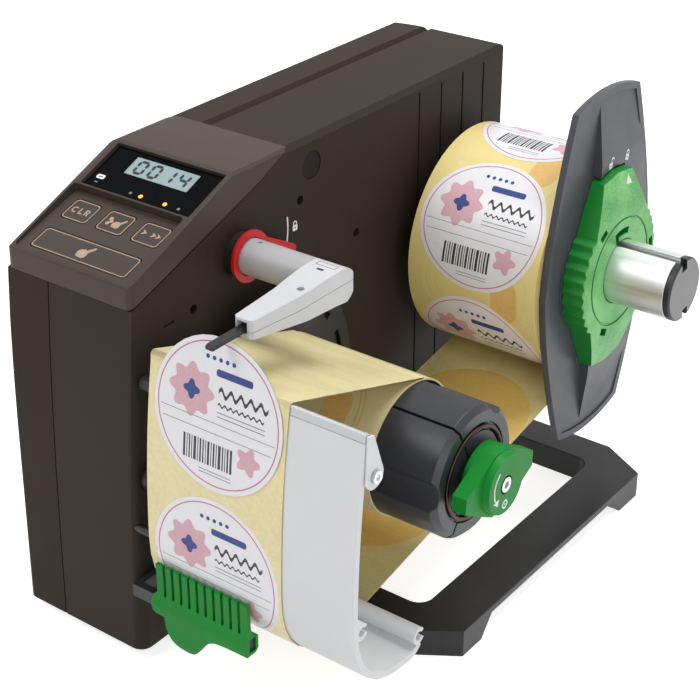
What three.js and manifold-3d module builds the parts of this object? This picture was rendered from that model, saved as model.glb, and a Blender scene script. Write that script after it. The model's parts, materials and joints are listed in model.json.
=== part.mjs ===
import * as THREE from 'three';
import { mergeVertices } from 'three/addons/utils/BufferGeometryUtils.js';
import Module from 'manifold-3d';

// Label dispenser machine. Lengths are in millimetres.
// X runs out from the side wall that carries the rollers, Y runs back from the front, Z up from the desk.

// Clearances
const seatGap = 0.3; // between pieces that rest against each other
const runGap = 0.5; // round pieces that turn
const seamGap = 0.7; // the dark joints between covers
const overrun = 2; // how far a cutter passes the face that it cuts
const weldDistance = 0.0001;

// Housing shells
const housingDepth = 337;
const housingTop = 255;
const standHeight = 8;
const wallCoverWidth = 57;
const leftCoverWidth = 29;
const shellWall = 3;
const frontBulge = 5.5;
const bulgePeakHeight = 130;
const wallCornerRadius = 7;
const leftCornerRadius = 5;
const rearCornerRadius = 4;
const topEdgeRadius = 3;
const leftTopDrop = 2;
const grooveWidth = 1.6;
const grooveDepth = 0.9;
const grooveSetback = 94;
const groovePitch = 22.7;
const grooveCount = 4;
const grooveTop = 250;
const grooveBottom = 22;

// Control bezel with its sunk window and keypad
const bezelLip = 13;
const bezelOverhang = 0.8;
const panelFootHeight = 221;
const panelRun = 80;
const bezelRear = 122.5;
const shoulderDepth = 98;
const shoulderDrop = 12.4;
const bezelSkin = 7.5;
const bezelRim = 4;
const bezelLeftRound = 6;
const lipRadius = 3;
const windowWidth = 74;
const windowSideShift = 2.6;
const windowFoot = 51.8;
const windowLength = 31.7;
const windowSink = 2;
const windowThickness = 2.4;
const screenWidth = 43.6;
const screenLength = 12.9;
const screenFoot = 67.6;
const screenSideShift = 3;
const screenRecess = 0.6;
const ledRadius = 1.3;
const ledPitch = 16.5;
const ledFoot = 54.9;
const ledMargin = 1.2;
const ledMiddleShare = 0.368;
const lampCarrier = 1;
const keypadFoot = 2.4;
const keypadLength = 47.5;
const keypadWidth = 76;
const keypadTilt = 4;
const keypadSink = 1.3;
const membraneThickness = 1.6;
const keyThickness = 1;
const keyWidth = 17.8;
const keyLength = 15;
const keyPitch = 24.2;
const keySideShift = 1.5;
const keyRowFoot = 27;
const startKeyWidth = 65.5;
const startKeyLength = 15;
const startKeyFoot = 3.2;
const keyCorner = 2.5;
const keyLine = 0.35;

// Side wall furniture
const dimpleRadius = 8;
const dimpleDepth = 1;
const screwHoleRadius = 2.4;
const bufferRadius = 7.5;
const bufferReach = 12;
const bufferSink = 2;
const bufferDepth = 7.8;
const bufferHeight = 111.6;
const slotLength = 8;
const slotWidth = 1.4;

// Rewinder
const rewindDepth = 97.4;
const rewindHeight = 120.8;
const rewindShaftRadius = 6;
const rewindFlangeRadius = 64;
const rewindFlangeFace = 13;
const rewindFlangeThickness = 3;
const rewindHubRadius = 21;
const flangeSlotRadius = 53;
const flangeSlotWidth = 4;
const flangeSlotCount = 10;
const flangeSlotSpan = 22;
const drumRadius = 36;
const drumEnd = 137;
const drumCoreRadius = 18;
const segmentInnerRadius = 19.5;
const segmentMouthRadius = 11.8;
const segmentMouthDepth = 8;
const segmentGap = 1.3;
const segmentAngle = 57;
const drumEdge = 3;
const fluteRadius = 12;
const fluteDepth = 4.5;
const wireRingRadius = 24.6;
const wireRadius = 1.1;
const wireGrooveDepth = 1.4;
const woundThickness = 1;

// Rewinder knob
const knobStart = 140.5;
const knobLength = 15.3;
const knobWingReach = 31;
const knobWingShoulder = 17.5;
const knobWingWaist = 6;
const knobWingRise = 3.5;
const knobWingFront = 11.7;
const knobFaceFoot = 17.3;
const knobWingAngle = 178;
const knobWingTip = 4.3;
const knobFootRadius = 18.5;
const knobFaceRadius = 16;
const camRadius = 10.5;
const camDepth = 0.5;
const knobScrewRadius = 4.2;
const knobScrewShank = 2.5;
const knobScrewSink = 2.2;
const knobBoreWall = 1;

// Supply axle, roll and core
const supplySetback = 55.4;
const supplyHeight = 156;
const axleRadius = 19;
const axleBore = 13;
const axleEnd = 153;
const axleTail = 30;
const tSlotMouth = 5;
const tSlotWidth = 9;
const tSlotLip = 1.8;
const tSlotDepth = 4;
const tSlotTurn = 10;
const capThickness = 4;
const capNotchWidth = 5.8;
const capNotchDepth = 6.2;
const coreWall = 2.4;
const webStart = 13;
const webWidth = 85;
const rollRadius = 65.3;

// Blade flange and its locking hub
const bladeStart = 98.3;
const bladePlate = 4;
const bladeReach = 108;
const bladeTipHalfWidth = 35;
const bladeHalfWidth = 60;
const bladeSwellX = 58;
const bladeSwellZ = 38;
const bladeWallAtTip = -9;
const bladeWallAtHub = -14;
const bladeWedgeTip = 100;
const bladeWedgeHeight = 6;
const bladeWedgeSteps = 3;
const bladeRimWidth = 4;
const bladeRimDepth = 1;
const hubRadius = 42.3;
const hubEarReach = 60;
const hubEarHalfWidth = 16.5;
const hubLength = 13.7;
const hubEdgeIn = 1.5;
const hubWaveDepth = 0.8;
const hubWaveCount = 10;
const hubWaveSteps = 5;
const hubCatchInner = 22.6;
const hubCatchOuter = 26.4;
const hubCatchFrom = 74;
const hubCatchTo = 109;
const hubCatchMouth = 101;
const hubBossRadius = 32;
const hubBossRise = 0.8;
const hubEarDrop = 6;
const hubEarTurn = 42;
const hubUnlockTurn = 18;
const hubUnlockSteps = 2;
const hubGrooveWidth = 1.2;
const hubPocketWidth = 4;
const hubPocketLength = 7;
const hubPocketRadius = 37;
const hubPocketDepth = 5;

// Sensor arm on its sliding tube
const sensorDepth = 80.8;
const sensorHeight = 210;
const sensorTubeRadius = 9.9;
const sensorTubeWall = 1.8;
const sensorBushWall = 1.5;
const sensorTail = 45;
const knuckleStart = 48.5;
const knuckleEnd = 67;
const armReach = 70.8;
const armTipWidth = 11;
const armTipTop = 10;
const armTipBottom = 0.2;
const armSplit = 1;
const armSplitRise = 3;
const armBellyDrop = 7;
const armPivotRadius = 6;
const armPivotLength = 14;
const armEdge = 1.5;
const armBellyShare = 0.4;
const armTaperShare = 0.2;
const armBackTurn = 72;
const probeWidth = 4.6;
const probeThickness = 2.6;
const probeTip = 24;
const probeTail = 20;
const probeSide = 6.5;
const probeHeight = 4;
const armScrewRadius = 1.7;
const armScrewInset = 4.6;
const armScrewDepth = 28;
const armScrewSink = 3;
const armMouthFar = 9.2;
const armMouthNear = 2.8;
const armMouthTop = 8.6;
const armMouthDepth = 4;
const collarRadius = 14.2;
const collarStart = 6.3;
const collarLength = 2;
const leverReach = 38;
const leverRootHalf = 9.5;
const leverTipHalf = 4;
const leverAngle = -16;
const tubeHoleRadius = 1.1;
const tubeHolePlace = 14.4;

// Dispensing plate
const plateStart = 15;
const plateEnd = 140.3;
const plateThickness = 3.4;
const plateTop = 186.5;
const plateTopDepth = -1.2;
const plateBelly = -8.8;
const plateBellyHeight = 90;
const plateBendHeight = 140;
const plateFloor = 42.8;
const plateFloorDepth = 38;
const plateRoundShare = 0.66;
const plateLip = 48;
const plateLipHeight = 47;
const bossRadius = 4.6;
const bossBore = 2.6;
const bossMouth = 60;
const frontBossHeight = 84.5;
const studRadius = 2.2;
const studReach = 30;
const studTail = 6;
const stripHeight = 4.7;
const stripDepth = 5.6;
const peelNoseDepth = -0.4;
const rodDepth = 5;
const rodHeight = 167.5;
const rodRadius = 3.6;
const bracketThickness = 1;
const bracketFlareTurn = 30;
const bracketFootTurn = 153;
const bracketScrewHead = 3.4;
const bracketScrewHeadLength = 1.8;
const bracketScrewShank = 1.9;
const bracketScrewLength = 10;

// Liner web and the label that is being peeled
const linerThickness = 0.5;
const linerFold = 0.9;
const labelRadius = 39.5;
const labelCentre = 56.9;
const labelFoot = 133.2;
const labelThickness = 0.4;

// Comb guide on its flat bar
const barDepth = -8.3;
const barHeight = 52.1;
const barWidth = 4.4;
const barTall = 7.4;
const barEnd = 77.3;
const barArmThickness = 3.6;
const barArmReach = 16;
const combStart = 19;
const combWidth = 59.5;
const combTop = 77.2;
const combFoot = 30.5;
const combThickness = 2.2;
const combTipDepth = -12.3;
const combLean = 0.9;
const combSleeve = 1.9;
const combSlotCount = 10;
const combSlotWidth = 1.7;
const combSlotLength = 18.5;
const combTongueCentre = 40;
const combTongueWidth = 33;
const combEar = 4;
const combEarShare = 0.8;

// Foot frame
const frameFront = 88;
const frameSetback = 22.7;
const frameReach = 131.3;
const frameBarWidth = 30;
const frameFrontArm = 20;
const frameRearArm = 23;
const frameHeight = 16.4;
const frameArch = 12;
const frameFrontFoot = 33;
const frameRearFoot = 38;
const frameArchSlope = 10;
const frameFrontCutX = 21.5;
const frameFrontCutY = 14.5;
const frameRearCutX = 29;
const frameRearCutY = 16.5;
const frameInnerRadius = 9;
const tongueLength = 46;
const tongueFloor = 1;
const footRadius = 9;

// Drive, brake and electrics inside the housing
const pulleyFace = 50;
const pulleyWidth = 6;
const rewindPulleyRadius = 30;
const motorPulleyRadius = 10;
const pulleyRimHeight = 2;
const pulleyRimWidth = 0.6;
const beltThickness = 1.5;
const motorBehindRewinder = 67.6;
const motorHeight = 75;
const motorRadius = 21;
const motorShaftRadius = 3;
const brakeRadius = 29;
const brakeThickness = 4;
const bearingFlange = 6;
const bearingWall = 5;
const bearingTail = 8;
const boardThickness = 1.6;
const boardDepthStart = 30;
const boardDepthSpan = 120;
const boardHeightStart = 30;
const boardHeightSpan = 130;
const boardPostRadius = 4;
const boardPostLength = 6;
const powerWidth = 40;
const powerBehindMotor = 8;
const powerHeight = 48;
const powerRear = 12;
const inletWidth = 27;
const inletTall = 20;
const inletDepth = 18;
const inletFlange = 3;
const inletFlangeThickness = 2;
const inletWall = 1.8;
const inletHeight = 50;
const inletSide = 28;
const pinRadius = 1.4;
const pinPitch = 7;
const rockerWidth = 13;
const rockerTall = 19;
const rockerDepth = 9;
const rockerHeight = 92;
const rockerPin = 1.5;

// Derived planes
const shellBottom = standHeight;
const leftSide = -wallCoverWidth - leftCoverWidth;
const seam = -wallCoverWidth;
const bezelFront = -bezelOverhang;
const panelTilt = Math.atan2(housingTop - panelFootHeight, panelRun);
const lipBottom = panelFootHeight - bezelLip;
const panelCentre = leftSide / 2;
const supplyDepth = housingDepth - supplySetback;
const frameRear = housingDepth - frameSetback;
const motorDepth = rewindDepth + motorBehindRewinder;
const webEnd = webStart + webWidth;

const machine = new THREE.Group();
const wasm = await Module();
wasm.setup();

// Solids: welding, joining and cutting

function bareGeometry(geometry) {
  const bare = new THREE.BufferGeometry();
  bare.setAttribute('position', geometry.getAttribute('position'));
  if (geometry.index) bare.setIndex(geometry.index);
  return mergeVertices(bare, weldDistance);
}

function signedVolume(positions, triangles) {
  const [a, b, c] = [new THREE.Vector3(), new THREE.Vector3(), new THREE.Vector3()];
  let volume = 0;
  for (let i = 0; i < triangles.length; i += 3) {
    a.fromArray(positions, triangles[i] * 3);
    b.fromArray(positions, triangles[i + 1] * 3);
    c.fromArray(positions, triangles[i + 2] * 3);
    volume += a.dot(b.cross(c));
  }
  return volume;
}

function solid(geometry) {
  const bare = bareGeometry(geometry);
  const positions = new Float32Array(bare.getAttribute('position').array);
  const triangles = [];
  const corners = bare.index.array;
  for (let i = 0; i < corners.length; i += 3) {
    const [a, b, c] = [corners[i], corners[i + 1], corners[i + 2]];
    if (a !== b && b !== c && c !== a) triangles.push(a, b, c);
  }
  if (signedVolume(positions, triangles) < 0) {
    for (let i = 0; i < triangles.length; i += 3) {
      [triangles[i], triangles[i + 1]] = [triangles[i + 1], triangles[i]];
    }
  }
  const triVerts = new Uint32Array(triangles);
  return new wasm.Manifold(new wasm.Mesh({ numProp: 3, vertProperties: positions, triVerts }));
}

function joined(...parts) {
  return parts.reduce((whole, part) => whole.add(part));
}

function cut(base, ...cutters) {
  return cutters.reduce((rest, cutter) => rest.subtract(cutter), base);
}

function common(...parts) {
  return parts.reduce((whole, part) => whole.intersect(part));
}

function geometryOf(body) {
  const { vertProperties, triVerts, numProp } = body.getMesh();
  const positions = new Float32Array((vertProperties.length / numProp) * 3);
  for (let i = 0; i < positions.length / 3; i++) {
    for (let axis = 0; axis < 3; axis++) positions[i * 3 + axis] = vertProperties[i * numProp + axis];
  }
  const geometry = new THREE.BufferGeometry();
  geometry.setAttribute('position', new THREE.BufferAttribute(positions, 3));
  geometry.setIndex(new THREE.BufferAttribute(new Uint32Array(triVerts), 1));
  geometry.computeVertexNormals();
  return geometry;
}

function place(name, body, look, parent = machine) {
  const mesh = new THREE.Mesh(geometryOf(body), look());
  mesh.name = name;
  parent.add(mesh);
  return mesh;
}

// Profiles swept along the three axes

const towardX = new THREE.Matrix4().makeBasis(
  new THREE.Vector3(0, 1, 0), new THREE.Vector3(0, 0, 1), new THREE.Vector3(1, 0, 0));
const towardFront = new THREE.Matrix4().makeBasis(
  new THREE.Vector3(1, 0, 0), new THREE.Vector3(0, 0, 1), new THREE.Vector3(0, -1, 0));

function swept(shape, length, curveSegments, bevel = {}) {
  return new THREE.ExtrudeGeometry(shape, { depth: length, bevelEnabled: false, curveSegments, ...bevel });
}

// A profile drawn in depth and height, swept from one X to another
function alongX(shape, from, to, curveSegments = 6, bevel = {}) {
  return solid(swept(shape, to - from, curveSegments, bevel).applyMatrix4(towardX).translate(from, 0, 0));
}

// A profile drawn in X and height, swept from one depth to another
function alongY(shape, from, to, curveSegments = 6) {
  return solid(swept(shape, to - from, curveSegments).applyMatrix4(towardFront).translate(0, to, 0));
}

// A plan outline swept upward
function alongZ(shape, from, to, curveSegments = 6) {
  return solid(swept(shape, to - from, curveSegments).translate(0, 0, from));
}

function polygon(points) {
  return new THREE.Shape(points.map(([x, y]) => new THREE.Vector2(x, y)));
}

// A rectangle with its own radius at each corner, counted from the low corner anticlockwise
function rounded(left, right, low, high, radii) {
  const [a, b, c, d] = radii;
  const shape = new THREE.Shape();
  shape.moveTo(left + a, low);
  shape.lineTo(right - b, low);
  if (b > 0) shape.absarc(right - b, low + b, b, -Math.PI / 2, 0);
  shape.lineTo(right, high - c);
  if (c > 0) shape.absarc(right - c, high - c, c, 0, Math.PI / 2);
  shape.lineTo(left + d, high);
  if (d > 0) shape.absarc(left + d, high - d, d, Math.PI / 2, Math.PI);
  shape.lineTo(left, low + a);
  if (a > 0) shape.absarc(left + a, low + a, a, Math.PI, Math.PI * 1.5);
  return shape;
}

function box(x0, x1, y0, y1, z0, z1) {
  const block = new THREE.BoxGeometry(x1 - x0, y1 - y0, z1 - z0);
  return solid(block.translate((x0 + x1) / 2, (y0 + y1) / 2, (z0 + z1) / 2));
}

// A round bar along X
function rodX(radius, from, to, depth, height, sides = 24) {
  const bar = new THREE.CylinderGeometry(radius, radius, to - from, sides).rotateZ(-Math.PI / 2);
  return solid(bar.translate((from + to) / 2, depth, height));
}

// A turned piece about an axis along X, its profile given as radius and X
function turnedX(profile, depth, height, sides = 32) {
  const closed = [...profile, profile[0]].map(([radius, x]) => new THREE.Vector2(radius, x));
  const turned = new THREE.LatheGeometry(closed, sides).rotateZ(-Math.PI / 2);
  return solid(turned.translate(0, depth, height));
}

function ringX(inner, outer, from, to, depth, height, sides = 32) {
  return turnedX([[inner, from], [outer, from], [outer, to], [inner, to]], depth, height, sides);
}

function turnedAbout(body, degrees, depth, height) {
  return body.translate([0, -depth, -height]).rotate([degrees, 0, 0]).translate([0, depth, height]);
}

function radians(degrees) {
  return THREE.MathUtils.degToRad(degrees);
}

function polar(radius, degrees) {
  return [radius * Math.cos(radians(degrees)), radius * Math.sin(radians(degrees))];
}

// Finishes

function finish(color, roughness, metalness) {
  return () => new THREE.MeshStandardMaterial({ color, roughness, metalness });
}

const brownPlastic = finish('#4a423d', 0.55, 0);
const wallPlastic = finish('#3a3430', 0.6, 0);
const bezelPlastic = finish('#5b524b', 0.5, 0);
const keyFoil = finish('#544b45', 0.55, 0);
const windowGloss = finish('#111111', 0.12, 0);
const screenGlass = finish('#9fb3a8', 0.3, 0);
const amberLamp = finish('#e0a92a', 0.3, 0);
const redPlastic = finish('#c8272d', 0.4, 0);
const greenPlastic = finish('#22933f', 0.45, 0);
const drumPlastic = finish('#4b4c50', 0.5, 0);
const bladePlastic = finish('#5f6167', 0.45, 0);
const blackPlastic = finish('#232324', 0.5, 0);
const framePlastic = finish('#2b2b2c', 0.45, 0);
const satinAluminium = finish('#c9cbce', 0.35, 0.9);
const platePaint = finish('#dcdde0', 0.4, 0.1);
const silverPaint = finish('#d3d4d6', 0.35, 0.3);
const brightSteel = finish('#b9bbbe', 0.25, 1);
const darkSteel = finish('#3c3d40', 0.4, 0.9);
const springWire = finish('#7a6a60', 0.4, 0.8);
const linerPaper = finish('#ddd0a2', 0.7, 0);
const rollPaper = finish('#d9bd6d', 0.65, 0);
const labelPaper = finish('#f2f0f2', 0.6, 0);
const cardboard = finish('#b69a72', 0.85, 0);
const rubber = finish('#1b1b1b', 0.85, 0);
const circuitBoard = finish('#2d5a3a', 0.6, 0);

// Housing shells

// The side silhouette of both shells, drawn smaller by the inset for the hollow
function housingSide(inset) {
  const low = shellBottom + inset;
  const high = housingTop - inset;
  const front = -frontBulge + inset;
  const rear = housingDepth - inset;
  const corner = topEdgeRadius;
  const shape = new THREE.Shape();
  shape.moveTo(front, low);
  shape.lineTo(rear, low);
  shape.lineTo(rear, high - corner);
  shape.absarc(rear - corner, high - corner, corner, 0, Math.PI / 2);
  shape.lineTo(bezelRear + inset, high);
  shape.lineTo(shoulderDepth + inset, housingTop - shoulderDrop - inset);
  shape.lineTo(inset, lipBottom - inset);
  shape.quadraticCurveTo(front, bulgePeakHeight, front, low);
  return shape;
}

function housingPlan(left, right, inset, radii) {
  const corners = radii.map((radius) => Math.max(radius - inset, 0));
  return rounded(left + inset, right - inset, -frontBulge + inset, housingDepth - inset, corners);
}

function housingFrontView(left, right, inset, drop) {
  const high = housingTop - inset;
  const rim = topEdgeRadius;
  return polygon([
    [left + inset, shellBottom + inset],
    [right - inset, shellBottom + inset],
    [right - inset, high - rim],
    [right - inset - rim, high],
    [left + inset + rim, high - drop],
    [left + inset, high - drop - rim],
  ]);
}

// One shell is common to its side, plan and front outlines, less the same three drawn smaller
function shell(left, right, openSide, radii, drop) {
  const reachLeft = openSide === 'left' ? overrun + shellWall : 0;
  const reachRight = openSide === 'right' ? overrun + shellWall : 0;
  const outer = common(
    alongX(housingSide(0), left, right, 5),
    alongZ(housingPlan(left, right, 0, radii), 0, housingTop, 3),
    alongY(housingFrontView(left, right, 0, drop), -frontBulge, housingDepth));
  const hollow = common(
    alongX(housingSide(shellWall), left - reachLeft, right + reachRight, 5),
    alongZ(housingPlan(left - reachLeft, right + reachRight, shellWall, radii), 0, housingTop, 2),
    alongY(housingFrontView(left - reachLeft, right + reachRight, shellWall, drop), 0, housingDepth));
  return cut(outer, hollow);
}

function grooveCutters() {
  const cutters = [];
  for (let i = 0; i < grooveCount; i++) {
    const depth = housingDepth - grooveSetback + i * groovePitch;
    cutters.push(box(-grooveDepth, overrun, depth, depth + grooveWidth, grooveBottom, grooveTop));
  }
  return cutters;
}

// Places of the small holes in the side wall, as shares of the housing's depth and height
const wallHoleShares = [[0.392, 0.868], [0.543, 0.722], [0.132, 0.752]];
const dimpleShares = [0.422, 0.936];
const slotShares = [0.064, 0.747];

function wallPoint([depthShare, heightShare]) {
  return [depthShare * housingDepth, heightShare * housingTop];
}

const rewindBearingRadius = rewindShaftRadius + runGap + bearingWall;
const supplyBearingRadius = axleRadius + runGap + bearingWall;
const sensorBushBore = sensorTubeRadius + seatGap;
const sensorBushRadius = sensorBushBore + sensorBushWall;

function wallHole(radius, depth, height) {
  return rodX(radius + seatGap, -shellWall - overrun, overrun, depth, height);
}

function inletHole() {
  return box(
    seam + inletSide - inletWidth / 2 - seatGap, seam + inletSide + inletWidth / 2 + seatGap,
    housingDepth - shellWall - overrun, housingDepth + overrun,
    inletHeight - inletTall / 2 - seatGap, inletHeight + inletTall / 2 + seatGap);
}

function rockerHole() {
  return box(
    seam + inletSide - rockerWidth / 2 - runGap, seam + inletSide + rockerWidth / 2 + runGap,
    housingDepth - shellWall - overrun, housingDepth + overrun,
    rockerHeight - rockerTall / 2 - runGap, rockerHeight + rockerTall / 2 + runGap);
}

function makeMainHousing() {
  const radii = [0, wallCornerRadius, rearCornerRadius, 0];
  const [dimpleAcross, dimpleHeight] = wallPoint(dimpleShares);
  const [slotDepthAt, slotHeightAt] = wallPoint(slotShares);
  const holes = wallHoleShares.map((shares) => wallHole(screwHoleRadius, ...wallPoint(shares)));
  const slot = box(-grooveDepth, overrun,
    slotDepthAt, slotDepthAt + slotLength, slotHeightAt, slotHeightAt + slotWidth);
  const dimple = rodX(dimpleRadius, -dimpleDepth, overrun, dimpleAcross, dimpleHeight);
  const studHoles = bossCentres().map(([depth, height]) =>
    rodX(studRadius + seatGap, -wallCornerRadius - overrun, overrun, depth, height));
  const bufferSeat = rodX(bufferRadius + seatGap, -bufferSink, overrun, bufferDepth, bufferHeight, 28);
  return cut(
    shell(seam + seamGap / 2, 0, 'left', radii, 0),
    wallHole(rewindBearingRadius, rewindDepth, rewindHeight),
    wallHole(supplyBearingRadius, supplyDepth, supplyHeight),
    wallHole(sensorBushRadius, sensorDepth, sensorHeight),
    inletHole(), rockerHole(), dimple, bufferSeat, slot,
    ...studHoles, ...holes, ...grooveCutters());
}

// The bush in the wall that the sensor tube slides in
function makeSensorBush() {
  return ringX(sensorBushBore, sensorBushRadius, -bearingTail, collarStart - runGap,
    sensorDepth, sensorHeight);
}

// A round buffer on the wall beside the web
function makeBuffer() {
  return rodX(bufferRadius, -bufferSink + seatGap, bufferReach, bufferDepth, bufferHeight, 28);
}

function boardPosts() {
  const depths = [boardDepthStart + boardPostRadius, boardDepthStart + boardDepthSpan - boardPostRadius];
  const heights = [boardHeightStart + boardPostRadius, boardHeightStart + boardHeightSpan - boardPostRadius];
  const from = leftSide + shellWall / 2;
  const to = leftSide + shellWall + boardPostLength;
  return depths.flatMap((depth) =>
    heights.map((height) => rodX(boardPostRadius, from, to, depth, height, 10)));
}

function makeLeftCover() {
  const radii = [leftCornerRadius, 0, 0, leftCornerRadius];
  return joined(shell(leftSide, seam - seamGap / 2, 'right', radii, leftTopDrop), ...boardPosts());
}

// Control bezel

const panelMatrix = new THREE.Matrix4()
  .makeRotationX(panelTilt)
  .setPosition(panelCentre, bezelFront, panelFootHeight);
const keypadMatrix = panelMatrix.clone()
  .multiply(new THREE.Matrix4().makeTranslation(0, keypadFoot, -keypadSink))
  .multiply(new THREE.Matrix4().makeRotationX(-radians(keypadTilt)));

function onPanel(body, matrix = panelMatrix) {
  return body.transform(matrix.toArray());
}

function panelBlock(width, foot, length, low, high, corner, sideShift = 0) {
  const outline = rounded(sideShift - width / 2, sideShift + width / 2, foot, foot + length,
    [corner, corner, corner, corner]);
  return alongZ(outline, low, high, 2);
}

function bezelSide() {
  const shape = new THREE.Shape();
  shape.moveTo(bezelFront, lipBottom + seamGap);
  shape.lineTo(shoulderDepth, housingTop - shoulderDrop + seamGap);
  shape.lineTo(bezelRear, housingTop);
  shape.lineTo(bezelFront + panelRun, housingTop);
  shape.lineTo(bezelFront + lipRadius * Math.cos(panelTilt),
    panelFootHeight + lipRadius * Math.sin(panelTilt));
  shape.quadraticCurveTo(bezelFront, panelFootHeight, bezelFront, panelFootHeight - lipRadius / 2);
  return shape;
}

function bezelFrontView() {
  const shape = new THREE.Shape();
  const round = bezelLeftRound;
  const rim = topEdgeRadius / 2;
  shape.moveTo(leftSide, 0);
  shape.lineTo(0, 0);
  shape.lineTo(0, housingTop - rim);
  shape.lineTo(-rim, housingTop);
  shape.lineTo(leftSide + 2 * round, housingTop);
  shape.quadraticCurveTo(leftSide, housingTop, leftSide, housingTop - round);
  return shape;
}

// The rounding along the left edge, drawn square to the sloping panel
function bezelLeftCutter() {
  const round = bezelLeftRound;
  const half = leftSide - panelCentre;
  const corner = new THREE.Shape();
  corner.moveTo(half - overrun, overrun);
  corner.lineTo(half - overrun, -round);
  corner.lineTo(half, -round);
  corner.quadraticCurveTo(half, 0, half + round, 0);
  corner.lineTo(half + round, overrun);
  return onPanel(alongY(corner, -bezelLip, panelRun + 2 * bezelLip, 4));
}

function makeBezel() {
  const plan = rounded(leftSide, 0, bezelFront, bezelRear,
    [leftCornerRadius, wallCornerRadius / 2, 0, 0]);
  const body = common(
    alongX(bezelSide(), leftSide, 0, 4),
    alongZ(plan, 0, housingTop + overrun, 3),
    alongY(bezelFrontView(), bezelFront - overrun, bezelRear + overrun, 4));
  const depth = windowSink + windowThickness + seatGap;
  const windowSeat = onPanel(panelBlock(windowWidth + 2 * seatGap, windowFoot - seatGap,
    windowLength + 2 * seatGap, -depth, overrun, keyLine, windowSideShift));
  const lampSeat = onPanel(lampStrip(seatGap));
  const keypadSeat = onPanel(panelBlock(keypadWidth + 2 * seatGap, -seatGap,
    keypadLength + 2 * seatGap, -membraneThickness - seatGap, bezelSkin, keyCorner), keypadMatrix);
  const hollow = alongX(polygon([
    [bezelRim, 0], [panelRun, 0], [panelRun, housingTop - bezelSkin - windowSink],
    [bezelRim + bezelSkin, panelFootHeight - bezelSkin],
  ]), leftSide + bezelRim, -bezelRim);
  return cut(body, bezelLeftCutter(), windowSeat, lampSeat, keypadSeat, hollow);
}

function screenOpening(margin) {
  return panelBlock(screenWidth + 2 * margin, screenFoot - margin, screenLength + 2 * margin,
    -bezelSkin, overrun, keyLine, screenSideShift);
}

function ledPlaces() {
  const middle = panelMatrix.elements[12];
  const firstLed = leftSide * ledMiddleShare - middle;
  return [firstLed - ledPitch / 2, firstLed + ledPitch / 2];
}

function makeWindow() {
  const plate = panelBlock(windowWidth, windowFoot, windowLength,
    -windowSink - windowThickness, -windowSink, keyLine, windowSideShift);
  const lampHoles = ledPlaces().map((x) =>
    solid(new THREE.CylinderGeometry(ledRadius + seatGap, ledRadius + seatGap, bezelSkin, 10)
      .rotateX(Math.PI / 2).translate(x, ledFoot + ledMargin, -windowSink)));
  return cut(plate, screenOpening(seatGap), ...lampHoles);
}

function makeScreen() {
  return panelBlock(screenWidth, screenFoot, screenLength,
    -windowSink - windowThickness, -windowSink - screenRecess, keyLine, screenSideShift);
}

// The strip behind the window that carries both lamps
function lampStrip(margin) {
  const [first, last] = ledPlaces();
  const back = windowSink + windowThickness + seatGap;
  return box(first - 2 * ledRadius - margin, last + 2 * ledRadius + margin,
    ledFoot - margin, ledFoot + 2 * ledMargin + margin, -back - lampCarrier - margin, -back + margin);
}

function makeLamps() {
  const low = -windowSink - windowThickness - seatGap - lampCarrier / 2;
  const lamps = ledPlaces().map((x) =>
    solid(new THREE.CylinderGeometry(ledRadius, ledRadius, -windowSink - low, 10)
      .rotateX(Math.PI / 2).translate(x, ledFoot + ledMargin, (low - windowSink) / 2)));
  return joined(lampStrip(0), ...lamps);
}

function keyBlock(width, length, foot, sideShift, low, high) {
  return panelBlock(width, foot, length, low, high, keyCorner, sideShift);
}

// The keypad carries three small keys in a row above one long key
const rowKey = { width: keyWidth, length: keyLength, foot: keyRowFoot };
const keyLayout = [
  { name: 'key_clear', ...rowKey, side: keySideShift - keyPitch },
  { name: 'key_mode', ...rowKey, side: keySideShift },
  { name: 'key_advance', ...rowKey, side: keySideShift + keyPitch },
  {
    name: 'key_start', width: startKeyWidth, length: startKeyLength, foot: startKeyFoot, side: keySideShift,
  },
];

function makeMembrane() {
  const sheet = panelBlock(keypadWidth, 0, keypadLength, -membraneThickness, 0, keyCorner);
  const openings = keyLayout.map(({ width, length, foot, side }) =>
    keyBlock(width + 2 * keyLine, length + 2 * keyLine, foot - keyLine, side, -bezelSkin, overrun));
  return cut(sheet, ...openings);
}

function makeControls() {
  const panel = new THREE.Group();
  panel.applyMatrix4(panelMatrix);
  machine.add(panel);
  const keypad = new THREE.Group();
  keypad.position.set(0, keypadFoot, -keypadSink);
  keypad.rotation.x = -radians(keypadTilt);
  panel.add(keypad);
  place('control_bezel', makeBezel(), bezelPlastic);
  place('display_window', makeWindow(), windowGloss, panel);
  place('lcd_screen', makeScreen(), screenGlass, panel);
  place('status_lamps', makeLamps(), amberLamp, panel);
  place('key_membrane', makeMembrane(), keyFoil, keypad);
  for (const { name, width, length, foot, side } of keyLayout) {
    place(name, keyBlock(width, length, foot, side, -keyThickness, 0), keyFoil, keypad);
  }
}

// Rewinder

function makeRewindFlange() {
  const flangeBack = rewindFlangeFace - rewindFlangeThickness;
  const bore = rewindShaftRadius + seatGap;
  const disc = turnedX([
    [bore, bearingFlange + seatGap], [rewindHubRadius, bearingFlange + seatGap],
    [rewindHubRadius, flangeBack], [rewindFlangeRadius - drumEdge, flangeBack],
    [rewindFlangeRadius, flangeBack + rewindFlangeThickness / 2],
    [rewindFlangeRadius - drumEdge / 2, rewindFlangeFace], [bore, rewindFlangeFace],
  ], rewindDepth, rewindHeight, 40);
  const slots = [];
  for (let i = 0; i < flangeSlotCount; i++) {
    const start = (i * 360) / flangeSlotCount;
    slots.push(arcBar(flangeSlotRadius, flangeSlotWidth, start, start + flangeSlotSpan));
  }
  return cut(disc, ...slots);
}

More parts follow.
